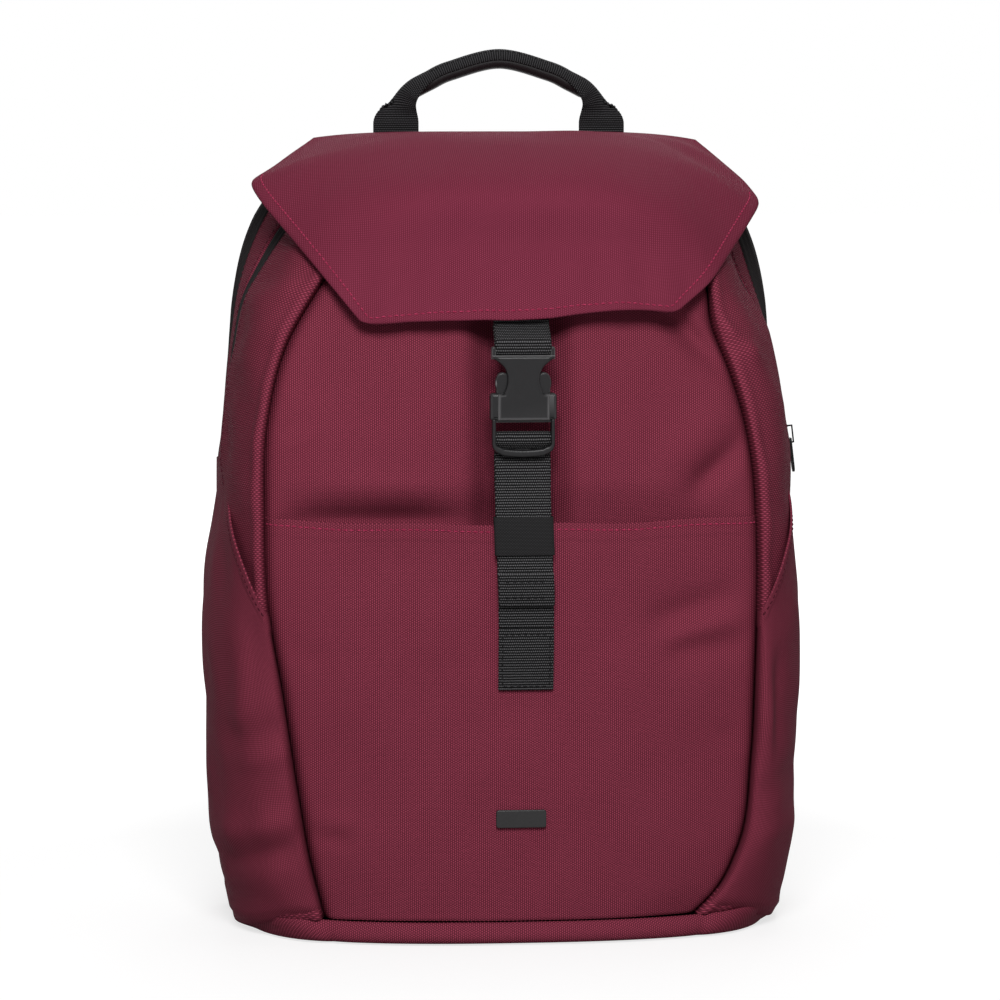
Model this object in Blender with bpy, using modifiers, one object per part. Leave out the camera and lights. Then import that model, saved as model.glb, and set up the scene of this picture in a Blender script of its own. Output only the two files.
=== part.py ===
"""A travel backpack: cloth body, lid flap with a side-release buckle, zips, grip and shoulder straps.

Metres, +Z up, the front faces -Y. The origin lies under the middle of the base.
"""

import math

import bmesh
import bpy
from mathutils import Matrix, Vector

# Clearance between neighbouring pieces
GAP = 0.0004

# Body: outlines seen from the front
SEAM_Z = 0.0115
KNEE_Z = 0.205
BODY_HALF = 0.145
BODY_TOE = 0.005
BODY_TOP = 0.400
BODY_CORNER = 0.080
ZIP_TOP = 0.392
ZIP_CORNER = 0.115
FRONT_HALF = 0.125
FRONT_TOE = 0.033
FRONT_TOP = 0.380
FRONT_CORNER = 0.085

# Body: places from front to back
FRONT_Y = -0.078
FRONT_TOE_IN = 0.008
FRONT_LEAN = 0.030
SEAM_DEPTH = 0.014
MAIN_ZIP_Y = 0.008
ZIP_WIDTH = 0.009
MID_WIDTH = 0.027
BACK_WIDTH = 0.019
BACK_THICK = 0.008
CLOTH = 0.0022
POCKET_CLOTH = 0.0016
ZIP_CLOTH = 0.0014
ZIP_END_Z = 0.234

# Pockets
POCKET_TOP_Z = 0.214
POCKET_ROOM = 0.008
BOTTLE_LOW_Z = 0.172
BOTTLE_HIGH_Z = 0.221
BOTTLE_ROOM = 0.0058

# Base
BASE_INSET = 0.012
BASE_CLOTH = 0.0025
BOARD_THICK = 0.0025
DIVIDER_THICK = 0.005
BACK_CORNER = 0.012

# Flap
FLAP_AXIS_IN = 0.0025
FLAP_TIP_IN = 0.019
FLAP_BACK_IN = 0.022
FLAP_FRONT_HALF = 0.0775
FLAP_LOW_Z = 0.312
FLAP_TIP = 0.30
FLAP_TIP_Y = 0.015
FLAP_TIP_Z = 0.374
FLAP_SWEEP = 0.006
FLAP_BOW = 0.023
FLAP_BACK_ROUND = 9.0
FLAP_TIP_ROUND = 3.6
FLAP_LOW_ROUND = 2.6
FLAP_CLOTH = 0.0015
FLAP_OFF = 0.0085
FLAP_LIFT = 0.0130

# Webbing and buckle
WEB = 0.028
WEB_THICK = 0.0014
STRAP_Y = -0.0830
MOUTH_Z = 0.264
SOCKET_TALL = 0.033
SOCKET_THICK = 0.0110
SOCKET_WALL = 0.0018
RIM_TALL = 0.012
WAIST_HALF = 0.0093
TONGUE_THICK = 0.0040
TONGUE_HALF = 0.0042
RIM_SIDE = 0.0020
PLUG_TALL = 0.0178
BAR_RADIUS = 0.0016
EAR_TALL = 0.0105
STRAP_AXIS_Z = 0.160
ANCHOR_LOW_Z = 0.129
TAIL_LOW_Z = 0.172
KEEPER_LOW_Z = 0.196
KEEPER_TALL = 0.021

# Handle
HANDLE_HALF = 0.054
HANDLE_WEB = 0.024
HANDLE_RISE = 0.0475
HANDLE_THICK = 0.0028
HANDLE_SINK = 0.0025
HANDLE_SEWN = 0.024
GRIP_RADIUS = 0.0042
GRIP_HALF = 0.044
GRIP_HALF_TALL = 0.0062
GRIP_HALF_DEEP = 0.0058
GRIP_DROP = 0.006
CORE_LOW = 0.0030
CORE_SAG = 0.0095

# Shoulder straps
STRAP_TOP_X = 0.022
STRAP_LOW_IN = 0.027
STRAP_TOP_Z = 0.384
STRAP_LOW_Z = 0.046
STRAP_OUT = 0.0160
STRAP_BULGE = 0.028
PAD_LONG = 0.235
PAD_WIDE = 0.060
PAD_NECK = 0.028
PAD_THICK = 0.011
LOCK_WEB = 0.025
LOCK_HEAD_HALF = 0.0020
STRAP_TAIL = 0.070
WING_TALL = 0.013
TAB_LONG = 0.024
TAB_FLARE = 0.007
TAB_THICK = 0.003

# Back cushions
BACK_PAD_X = 0.058
BACK_PAD_Z = 0.206
BACK_PAD_HALF = 0.043
BACK_PAD_SHORT = 0.035
BACK_PAD_THICK = 0.0075

# Blank patch on the pocket
PATCH_Z = 0.064
PATCH_HALF = 0.0125
PATCH_TALL = 0.009
PATCH_THICK = 0.0012

# Zip sliders
SLIDER_Z = 0.242
SLIDER_TALL = 0.011
SLIDER_WIDE = 0.0075
SLIDER_THICK = 0.0020
PULL_LONG = 0.017
PULL_WIDE = 0.0052
PULL_THICK = 0.0010
PULL_HEAD = 0.0007
PULL_EYE_HALF = 0.0010
PULL_EYE_LONG = 0.0034
BAIL_WIRE = 0.0006
BAIL_IN = 0.0012
BAIL_SINK = 0.0008
SLIDE_RUN = 0.024

# Ladder bars that webbing turns round
RAIL = 0.0017
LIP_FRONT = 0.0049
RAIL_BACK = 0.0022
LIP_TALL = 0.0036

# Values that follow from the sizes above
MID_Y = MAIN_ZIP_Y + ZIP_WIDTH
LAPTOP_ZIP_Y = MID_Y + MID_WIDTH
BACK_GUSSET_Y = LAPTOP_ZIP_Y + ZIP_WIDTH
BACK_Y = BACK_GUSSET_Y + BACK_WIDTH
REAR_Y = BACK_Y + BACK_THICK
FLAP_TIP_HALF = BODY_HALF - FLAP_TIP_IN
FLAP_BACK_HALF = FLAP_TIP_HALF - FLAP_BACK_IN
STRAP_LOW_X = BODY_HALF - STRAP_LOW_IN
FLAP_STACK = 2 * FLAP_CLOTH + GAP
FLAP_AXIS = Vector((0.0, BACK_Y - FLAP_AXIS_IN, BODY_TOP + FLAP_STACK / 2 + 2 * GAP))
REST_Y = STRAP_Y + WEB_THICK
STRAP_AXIS = Vector((0.0, REST_Y - WEB_THICK / 2 - GAP, STRAP_AXIS_Z))

# Shares of an arched outline: where the flat top ends and where the straight side starts
ARCH_FLAT = 0.15
ARCH_FOOT = 0.60
ARCH_SIDE_COUNT = 8
ARCH_CORNER_COUNT = 9
ARCH_COUNT = 40

# Outlines: half width, top, height where the corner starts, corner width, corner exponent, toe-in, toe power
FRONT_LINE = (FRONT_HALF, FRONT_TOP, KNEE_Z, FRONT_CORNER, 2.0, FRONT_TOE, 2.7)
ZIP_LINE = (BODY_HALF, ZIP_TOP, KNEE_Z, ZIP_CORNER, 2.4, BODY_TOE, 2.0)
BACK_LINE = (BODY_HALF, BODY_TOP, KNEE_Z, BODY_CORNER, 2.7, BODY_TOE, 2.0)


def clear_scene():
    """Start from an empty scene."""
    for old in list(bpy.data.objects):
        bpy.data.objects.remove(old, do_unlink=True)


def collection(name, shown):
    """A named collection, either shown or kept for cutting tools."""
    group = bpy.data.collections.new(name)
    bpy.context.scene.collection.children.link(group)
    group.hide_render = not shown
    return group


clear_scene()
PARTS = collection("travel_backpack", True)
CUTTERS = collection("cutters", False)


def paint(name, colour, roughness, metallic=0.0):
    """A plain material of one colour."""
    made = bpy.data.materials.new(name)
    made.use_nodes = True
    surface = made.node_tree.nodes["Principled BSDF"]
    surface.inputs["Base Color"].default_value = (*colour, 1.0)
    surface.inputs["Roughness"].default_value = roughness
    surface.inputs["Metallic"].default_value = metallic
    return made


CANVAS = ("canvas", (0.17, 0.03, 0.052), 0.85)
LINING = ("lining", (0.05, 0.045, 0.05), 0.8)
WEBBING = ("webbing", (0.028, 0.026, 0.027), 0.8)
PLASTIC = ("plastic", (0.03, 0.029, 0.031), 0.45)
TAPE = ("tape", (0.024, 0.022, 0.023), 0.75)
MESH_PAD = ("mesh_pad", (0.03, 0.03, 0.032), 0.9)
RUBBER = ("rubber", (0.035, 0.033, 0.034), 0.55)
STEEL = ("steel", (0.03, 0.03, 0.032), 0.4, 0.6)
FOAM = ("foam", (0.06, 0.06, 0.062), 0.9)


def add(name, data, look, group=None):
    """Put mesh or curve data into the scene as a named piece with its own material."""
    made = bpy.data.objects.new(name, data)
    (group or PARTS).objects.link(made)
    if group is None:
        data.materials.append(paint(name + "_" + look[0], *look[1:]))
    else:
        made.display_type = "WIRE"
        made.hide_render = True
    return made


def from_bmesh(name, shape, look, group=None):
    """Turn a bmesh into a named piece with its faces turned outward."""
    bmesh.ops.recalc_face_normals(shape, faces=shape.faces)
    data = bpy.data.meshes.new(name)
    shape.to_mesh(data)
    shape.free()
    return add(name, data, look, group)


def sheet(name, point, columns, rows, thickness, look, offset=-1.0):
    """A grid bent by point(u, v) with u and v from 0 to 1, given a thickness."""
    shape = bmesh.new()
    bmesh.ops.create_grid(shape, x_segments=columns, y_segments=rows, size=1.0)
    for vert in shape.verts:
        vert.co = point((vert.co.x + 1) / 2, (vert.co.y + 1) / 2)
    data = bpy.data.meshes.new(name)
    shape.to_mesh(data)
    shape.free()
    made = add(name, data, look)
    thick = made.modifiers.new("thickness", "SOLIDIFY")
    thick.thickness = thickness
    thick.offset = offset
    return made


def plate(name, outline, thickness, look, place, turn=None, holes=(), group=None):
    """A flat outline, drawn as a filled curve, extruded to a thickness and placed."""
    data = bpy.data.curves.new(name, "CURVE")
    data.dimensions = "2D"
    data.fill_mode = "BOTH"
    data.extrude = thickness / 2
    for loop in (outline, *holes):
        spline = data.splines.new("POLY")
        spline.points.add(len(loop) - 1)
        spline.use_cyclic_u = True
        for dot, (x, y) in zip(spline.points, loop):
            dot.co = (x, y, 0.0, 1.0)
    made = welded(name, data, look, group)
    made.matrix_world = Matrix.Translation(place) @ (turn or Matrix()).to_4x4()
    return made


def welded(name, data, look, group=None):
    """Turn curve data into a mesh piece, its caps joined to its sides."""
    drawn = bpy.data.objects.new(name + "_curve", data)
    bpy.context.scene.collection.objects.link(drawn)
    bpy.context.view_layer.update()
    flat = bpy.data.meshes.new_from_object(drawn.evaluated_get(bpy.context.evaluated_depsgraph_get()))
    bpy.data.objects.remove(drawn, do_unlink=True)
    shape = bmesh.new()
    shape.from_mesh(flat)
    bmesh.ops.remove_doubles(shape, verts=shape.verts, dist=1e-6)
    bmesh.ops.dissolve_limit(shape, angle_limit=0.001, verts=shape.verts, edges=shape.edges)
    return from_bmesh(name, shape, look, group)


def soften(made, width, segments=2):
    """Round the sharp edges of a piece."""
    edge = made.modifiers.new("soft_edges", "BEVEL")
    edge.width = width
    edge.segments = segments
    edge.limit_method = "ANGLE"
    edge.angle_limit = math.radians(40)


def block(name, low, high, look, group=None):
    """A box between two corners."""
    shape = bmesh.new()
    bmesh.ops.create_cube(shape, size=1.0)
    low = Vector(low)
    high = Vector(high)
    for vert in shape.verts:
        vert.co = [low[i] + (vert.co[i] + 0.5) * (high[i] - low[i]) for i in range(3)]
    return from_bmesh(name, shape, look, group)


def rod(name, start, end, radius, look, group=None, sides=12):
    """A round bar between two points."""
    start = Vector(start)
    run = Vector(end) - start
    shape = bmesh.new()
    turn = run.to_track_quat("Z", "Y").to_matrix().to_4x4()
    place = Matrix.Translation(start + run / 2) @ turn
    bmesh.ops.create_cone(
        shape, cap_ends=True, segments=sides, radius1=radius, radius2=radius, depth=run.length, matrix=place
    )
    return from_bmesh(name, shape, look, group)


def loft(name, loops, look, group=None):
    """A closed skin through rings of points, with flat ends."""
    shape = bmesh.new()
    rings = [[shape.verts.new(co) for co in loop] for loop in loops]
    count = len(rings[0])
    for low, high in zip(rings, rings[1:]):
        for i in range(count):
            j = (i + 1) % count
            shape.faces.new((low[i], low[j], high[j], high[i]))
    shape.faces.new(rings[0])
    shape.faces.new(rings[-1])
    return from_bmesh(name, shape, look, group)


def combine(made, other, how):
    """Cut, or add, another shape with an exact Boolean."""
    step = made.modifiers.new(how.lower(), "BOOLEAN")
    step.operation = how
    step.solver = "EXACT"
    step.object = other
    return made


def hang(made, place):
    """Move a piece's origin to a point without moving its surface."""
    place = Vector(place)
    made.data.transform(Matrix.Translation(-place) @ made.matrix_world)
    made.matrix_world = Matrix.Translation(place)
    return made


def mix(a, b, t):
    """Straight blend of two numbers."""
    return a + (b - a) * t


def ease(t):
    """Smooth step from 0 to 1."""
    t = min(max(t, 0.0), 1.0)
    return t * t * (3 - 2 * t)


def half_width(line, z):
    """Half width of a body outline at a height."""
    half, top, shoulder, corner, power, toe, toe_power = line
    if z < KNEE_Z:
        return half - toe * ((KNEE_Z - z) / (KNEE_Z - SEAM_Z)) ** toe_power
    t = min(max((z - shoulder) / (top - shoulder), 0.0), 1.0)
    return half - corner * (1 - (1 - t**power) ** (1 / power))


def arch(line, w, low=SEAM_Z):
    """Point (x, z) on a body outline: w runs from -1 at the left foot over the top to 1."""
    side = -1.0 if w < 0 else 1.0
    w = abs(w)
    half, top, shoulder, corner = line[:4]
    flat = ARCH_FLAT
    foot = ARCH_FOOT
    if w <= flat:
        return side * (half - corner) * w / flat, top
    if low >= KNEE_Z:
        start = math.asin((low - KNEE_Z) / (top - KNEE_Z))
        z = KNEE_Z + (top - KNEE_Z) * math.sin(mix(math.pi / 2, start, (w - flat) / (1 - flat)))
    elif w <= foot:
        z = KNEE_Z + (top - KNEE_Z) * math.sin(math.pi / 2 * (foot - w) / (foot - flat))
    else:
        z = mix(KNEE_Z, low, (w - foot) / (1 - foot))
    return side * half_width(line, z), z


def crown_y(z):
    """Front surface along the middle of the bag."""
    if z < KNEE_Z:
        return FRONT_Y + FRONT_TOE_IN * ((KNEE_Z - z) / (KNEE_Z - SEAM_Z)) ** 2
    return FRONT_Y + FRONT_LEAN * ((z - KNEE_Z) / (FRONT_TOP - KNEE_Z)) ** 2.2


def front_y(x, z):
    """Front surface of the bag anywhere inside the front seam."""
    return crown_y(z) + SEAM_DEPTH * min(abs(x) / half_width(FRONT_LINE, z), 1.0) ** 2.5


def seam_y(z):
    """Depth of the front seam at a height."""
    return crown_y(z) + SEAM_DEPTH


def roll(front, back, low_y, high_y, t):
    """Quarter round from a front outline point to a back outline point."""
    angle = math.pi / 2 * t
    out = math.sin(angle)
    x = mix(front[0], back[0], out)
    z = mix(front[1], back[1], out)
    return Vector((x, high_y - (high_y - low_y) * math.cos(angle), z))


def build_body():
    """Cloth shells of the bag, its base, its back and the wall inside."""

    rows = ARCH_SIDE_COUNT + ARCH_CORNER_COUNT

    def front(u, v):
        row = v * rows
        if row <= ARCH_SIDE_COUNT:
            z = arch(FRONT_LINE, 1 - row / ARCH_SIDE_COUNT * (1 - ARCH_FOOT))[1]
        else:
            rise = (row - ARCH_SIDE_COUNT) / ARCH_CORNER_COUNT
            z = arch(FRONT_LINE, ARCH_FOOT - rise * (ARCH_FOOT - ARCH_FLAT))[1]
        x = (2 * u - 1) * (half_width(FRONT_LINE, z) - 3 * GAP)
        z = min(max(z, SEAM_Z + GAP), FRONT_TOP - 2 * GAP)
        behind = ease((POCKET_TOP_Z + 0.026 - z) / 0.026)
        edge = 1 - (abs(2 * u - 1)) ** 4
        edge *= min(1.0, (z - SEAM_Z) / 0.03)
        return Vector((x, front_y(x, z) + POCKET_CLOTH + POCKET_ROOM * behind * edge, z))

    def pocket(u, v):
        z = mix(SEAM_Z + GAP, POCKET_TOP_Z, v)
        x = (2 * u - 1) * (half_width(FRONT_LINE, z) - GAP)
        return Vector((x, front_y(x, z) - GAP, z))

    def gusset(u, v):
        start = arch(FRONT_LINE, 2 * u - 1)
        end = arch(ZIP_LINE, 2 * u - 1)
        t = mix(0.03, 1.0, v)
        low_y = seam_y(min(start[1], FRONT_TOP))
        return roll(start, end, low_y, MAIN_ZIP_Y - GAP, t)

    def band(line_a, line_b, low_y, high_y):
        def point(u, v):
            a = arch(line_a, 2 * u - 1, ZIP_END_Z)
            b = arch(line_b, 2 * u - 1, ZIP_END_Z)
            return Vector((mix(a[0], b[0], v), mix(low_y, high_y - GAP, v), mix(a[1], b[1], v)))

        return point

    sheet("front_panel", front, 14, rows, CLOTH, CANVAS)
    sheet("front_pocket_panel", pocket, 14, 10, POCKET_CLOTH, CANVAS)
    sheet("front_gusset", gusset, ARCH_COUNT, 5, CLOTH, CANVAS)
    sheet("main_zip", band(ZIP_LINE, ZIP_LINE, MAIN_ZIP_Y, MID_Y), 34, 1, ZIP_CLOTH, TAPE)
    sheet("mid_gusset", band(ZIP_LINE, BACK_LINE, MID_Y, LAPTOP_ZIP_Y - 0.001), 34, 2, CLOTH, CANVAS)
    sheet("laptop_zip", band(BACK_LINE, BACK_LINE, LAPTOP_ZIP_Y, BACK_GUSSET_Y), 34, 1, ZIP_CLOTH, TAPE)
    sheet("back_gusset", band(BACK_LINE, BACK_LINE, BACK_GUSSET_Y, BACK_Y), 34, 1, CLOTH, CANVAS)

    for side, word in ((-1, "left"), (1, "right")):

        def panel(u, v, side=side):
            z = mix(SEAM_Z + GAP, ZIP_END_Z - GAP, v)
            y = mix(MAIN_ZIP_Y, BACK_Y - GAP, u if side > 0 else 1 - u)
            return Vector((side * half_width(BACK_LINE, z), y, z))

        def bottle(u, v, side=side):
            t = u if side > 0 else 1 - u
            top = mix(BOTTLE_LOW_Z, BOTTLE_HIGH_Z, min(t / 0.55, 1.0))
            z = mix(SEAM_Z + GAP, top, v)
            out = BOTTLE_ROOM * math.sin(math.pi * min(max(t, 0.0), 1.0)) ** 0.45
            out = out * ease((z - SEAM_Z) / 0.035) + POCKET_CLOTH + GAP
            if t < 0.6:
                start = (half_width(FRONT_LINE, z) + GAP, z)
                end = (half_width(ZIP_LINE, z), z)
                angle = mix(0.06, 1.0, t / 0.6)
                spot = roll(start, end, seam_y(z), MAIN_ZIP_Y, angle)
                facing = Vector((math.sin(math.pi / 2 * angle), -math.cos(math.pi / 2 * angle), 0.0))
            else:
                y = mix(MAIN_ZIP_Y, BACK_Y - GAP, (t - 0.6) / 0.4)
                spot = Vector((half_width(BACK_LINE, z), y, z))
                facing = Vector((1.0, 0.0, 0.0))
            spot += facing * out
            return Vector((side * spot.x, spot.y, spot.z))

        sheet(word + "_side_panel", panel, 2, 6, CLOTH, CANVAS)
        sheet(word + "_bottle_pocket", bottle, 14, 7, POCKET_CLOTH, CANVAS)

    rim = []
    steps = 8
    low = half_width(FRONT_LINE, SEAM_Z)
    for i in range(steps + 1):
        x = mix(0.0, low, i / steps)
        rim.append((x, front_y(x, SEAM_Z)))
    wide = half_width(BACK_LINE, SEAM_Z)
    for i in range(1, steps + 1):
        spot = roll((low, 0.0), (wide, 0.0), seam_y(SEAM_Z), MAIN_ZIP_Y, i / steps)
        rim.append((spot.x, spot.y))
    for i in range(steps + 1):
        angle = math.pi / 2 * i / steps
        x = wide - BACK_CORNER * (1 - math.cos(angle))
        rim.append((x, REAR_Y - BACK_CORNER * (1 - math.sin(angle))))
    rim += [(-x, y) for x, y in reversed(rim[1:])]
    middle = (REAR_Y + FRONT_Y) / 2

    def ring(inset, z):
        found = []
        for x, y in rim:
            wide_share = 1 - inset / wide
            deep_share = 1 - inset / (REAR_Y - middle)
            found.append(Vector((x * wide_share, middle + (y - middle) * deep_share, z)))
        return found

    outer = [ring(BASE_INSET, 0.0), ring(BASE_INSET * 0.45, 0.0018), ring(BASE_INSET * 0.12, 0.0055)]
    outer.append(ring(0.0, SEAM_Z - GAP))
    inner = [ring(BASE_CLOTH, SEAM_Z - GAP), ring(BASE_INSET * 0.3 + BASE_CLOTH, 0.0055)]
    inner.append(ring(BASE_INSET + BASE_CLOTH, BASE_CLOTH))
    loft("base_panel", outer + inner, CANVAS)
    board = [(spot.x, spot.y) for spot in ring(BASE_INSET + 2 * BASE_CLOTH, 0.0)]
    plate("base_board", board, BOARD_THICK, FOAM, (0, 0, BASE_CLOTH + GAP + BOARD_THICK / 2))

    stand = Matrix.Rotation(math.pi / 2, 3, "X")
    back = [arch(BACK_LINE, i / 20 - 1, SEAM_Z) for i in range(41)]
    plate("back_panel", back, BACK_THICK - GAP, FOAM, (0, (BACK_Y + REAR_Y) / 2, 0), stand)
    floor = BASE_CLOTH + BOARD_THICK + 2 * GAP
    inside = 1 - 2 * (CLOTH + GAP) / BODY_HALF
    wall = []
    for i in range(33):
        x, z = arch(ZIP_LINE, i / 16 - 1, SEAM_Z)
        wall.append((x * inside - math.copysign(0.004, x), floor + (z - SEAM_Z) * 0.92))
    divider_y = LAPTOP_ZIP_Y - 2 * DIVIDER_THICK
    plate("laptop_divider", wall, DIVIDER_THICK, FOAM, (0, divider_y, 0), stand)

    for side, word in ((-1, "left"), (1, "right")):
        rings = []
        tall = 0.5 * (STRAP_TOP_Z - STRAP_LOW_Z) - BACK_PAD_SHORT
        for depth, share in ((0.0, 1.0), (0.4, 1.0), (0.8, 0.93), (1.0, 0.8)):
            loop = []
            for i in range(28):
                angle = 2 * math.pi * i / 28
                x = BACK_PAD_HALF * share * math.copysign(abs(math.cos(angle)) ** 0.5, math.cos(angle))
                z = tall * (share + 1) / 2 * math.copysign(abs(math.sin(angle)) ** 0.3, math.sin(angle))
                y = REAR_Y + mix(GAP, BACK_PAD_THICK, depth)
                loop.append(Vector((side * BACK_PAD_X + x, y, BACK_PAD_Z + z)))
            rings.append(loop)
        loft(word + "_back_pad", rings, MESH_PAD)

    high = PATCH_TALL / 2
    corners = [(-PATCH_HALF, -high), (PATCH_HALF, -high), (PATCH_HALF, high), (-PATCH_HALF, high)]
    lean = Matrix.Rotation(math.pi / 2, 3, "X")
    patch_y = front_y(PATCH_HALF, PATCH_Z) - 2 * GAP - PATCH_THICK
    made = plate("blank_patch", corners, PATCH_THICK, RUBBER, (0, patch_y, PATCH_Z), lean)
    soften(made, PATCH_THICK / 3, 1)


def smooth_path(knots, count):
    """Evenly counted points on a smooth curve through knots."""
    ends = [2 * knots[0] - knots[1], *knots, 2 * knots[-1] - knots[-2]]
    found = []
    for i in range(count + 1):
        place = i / count * (len(knots) - 1)
        k = min(int(place), len(knots) - 2)
        t = place - k
        a, b, c, d = ends[k : k + 4]
        found.append(
            0.5 * (2 * b + (c - a) * t + (2 * a - 5 * b + 4 * c - d) * t**2 + (3 * b - a - 3 * c + d) * t**3)
        )
    return found


def flap_spine():
    """Middle line of the flap, from its hinge over the top and down the front."""
    low = FLAP_LOW_Z
    knots = [
        FLAP_AXIS + Vector((0, -0.001, FLAP_STACK / 2)),
        FLAP_AXIS + Vector((0, -0.038, FLAP_STACK / 2)),
        Vector((0, mix(MAIN_ZIP_Y, FRONT_Y, 0.20), BODY_TOP + 0.001)),
        Vector((0, crown_y(mix(low, BODY_TOP, 0.72)) - FLAP_OFF, mix(low, BODY_TOP, 0.76))),
        Vector((0, crown_y(mix(low, BODY_TOP, 0.42)) - FLAP_OFF, mix(low, BODY_TOP, 0.42))),
        Vector((0, crown_y(low) - FLAP_LIFT, low)),
    ]
    return smooth_path(knots, 40)


def flap_point(spine, u, v):
    """Point on the flap: u across, v from the front edge back to the hinge."""
    s = 1 - v
    place = min(max(s, 0.0), 1.0) * 40
    k = min(int(place), 39)
    middle = spine[k].lerp(spine[k + 1], place - k)
    if s < FLAP_TIP:
        k = s / FLAP_TIP
        half = mix(FLAP_BACK_HALF, FLAP_TIP_HALF, k)
        edge_y = mix(spine[0].y, FLAP_TIP_Y, k)
        edge_z = mix(spine[0].z, FLAP_TIP_Z, k)
        power = mix(FLAP_BACK_ROUND, FLAP_TIP_ROUND, ease(k))
    else:
        k = (s - FLAP_TIP) / (1 - FLAP_TIP)
        half = mix(FLAP_TIP_HALF, FLAP_FRONT_HALF, k)
        edge_y = mix(FLAP_TIP_Y, spine[-1].y + FLAP_SWEEP, k) - 4 * FLAP_BOW * k * (1 - k)
        edge_z = mix(FLAP_TIP_Z, FLAP_LOW_Z, k)
        power = mix(FLAP_TIP_ROUND, FLAP_LOW_ROUND, k)
    share = abs(2 * u - 1) ** power
    return Vector(((2 * u - 1) * half, mix(middle.y, edge_y, share), mix(middle.z, edge_z, share)))


def build_flap():
    """The two plies of the lid."""
    spine = flap_spine()

    def row(v):
        share = 1 - FLAP_TIP
        return v / 0.6 * share if v < 0.6 else share + (v - 0.6) / 0.4 * FLAP_TIP

    def outer(u, v):
        return flap_point(spine, u, row(v))

    def inner(u, v):
        spot = flap_point(spine, mix(0.004, 0.996, u), mix(0.003, 0.999, row(v)))
        ahead = flap_point(spine, min(u + 0.01, 1.0), row(v)) - flap_point(spine, max(u - 0.01, 0.0), row(v))
        along = flap_point(spine, u, min(row(v) + 0.01, 1.0)) - flap_point(spine, u, max(row(v) - 0.01, 0.0))
        return spot - ahead.cross(along).normalized() * (FLAP_CLOTH + GAP)

    hang(sheet("flap_panel", outer, 14, 15, FLAP_CLOTH, CANVAS), FLAP_AXIS)
    hang(sheet("flap_lining", inner, 14, 15, FLAP_CLOTH, LINING), FLAP_AXIS)


def strip(name, path, width, thickness, look):
    """A flat band of webbing that follows a path seen from the side."""

    def point(u, v):
        place = v * (len(path) - 1)
        k = min(int(place + 1e-6), len(path) - 2)
        spot = path[k].lerp(path[k + 1], place - k)
        return Vector((spot.x + (u - 0.5) * width, spot.y, spot.z))

    return sheet(name, point, 1, len(path) - 1, thickness, look, offset=0.0)


def wrap(centre, radius, start_angle, end_angle, count):
    """Points on an arc round a bar, seen from the side; angles from +Y towards +Z."""
    found = []
    for i in range(count + 1):
        angle = mix(start_angle, end_angle, i / count)
        found.append(centre + Vector((0, radius * math.cos(angle), radius * math.sin(angle))))
    return found


def arc(cx, cy, radius, start, end, count):
    """Points (x, y) on a flat arc, angles in degrees."""
    found = []
    for i in range(count + 1):
        angle = math.radians(mix(start, end, i / count))
        found.append((cx + radius * math.cos(angle), cy + radius * math.sin(angle)))
    return found


STAND = Matrix.Rotation(math.pi / 2, 3, "X")
RIM_HALF = WEB / 2 + 0.0028
ROOM_HALF = RIM_HALF - RIM_SIDE
EAR_HALF = ROOM_HALF - GAP
WRAP_RADIUS = BAR_RADIUS + GAP + WEB_THICK / 2
BAR_TALL = 0.0026
HORN_TALL = BAR_TALL + WEB_THICK + 3 * GAP


def ladder(name, width, bar_z, low_z, y, look, place=None):
    """Two rails, the bar that webbing turns round, and the lip bar in front of it."""
    half = width / 2 + GAP + RAIL
    top = bar_z + WRAP_RADIUS + WEB_THICK + 0.001
    made = rod(name, (-half + RAIL / 2, y, bar_z), (half - RAIL / 2, y, bar_z), BAR_RADIUS, look)
    low = (-half, y - LIP_FRONT, low_z)
    lip = block(name + "_lip", low, (half, y - RAIL_BACK, low_z + LIP_TALL), look, CUTTERS)
    for side in (-1, 1):
        a = side * (half - RAIL)
        b = side * half
        low = (min(a, b), y - LIP_FRONT, low_z)
        high = (max(a, b), y + RAIL_BACK, top)
        post = block(name + "_rail" + str(side), low, high, look, CUTTERS)
        post.matrix_world = place or Matrix()
        combine(made, post, "UNION")
    made.matrix_world = place or Matrix()
    lip.matrix_world = place or Matrix()
    return combine(made, lip, "UNION"), half, top


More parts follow.
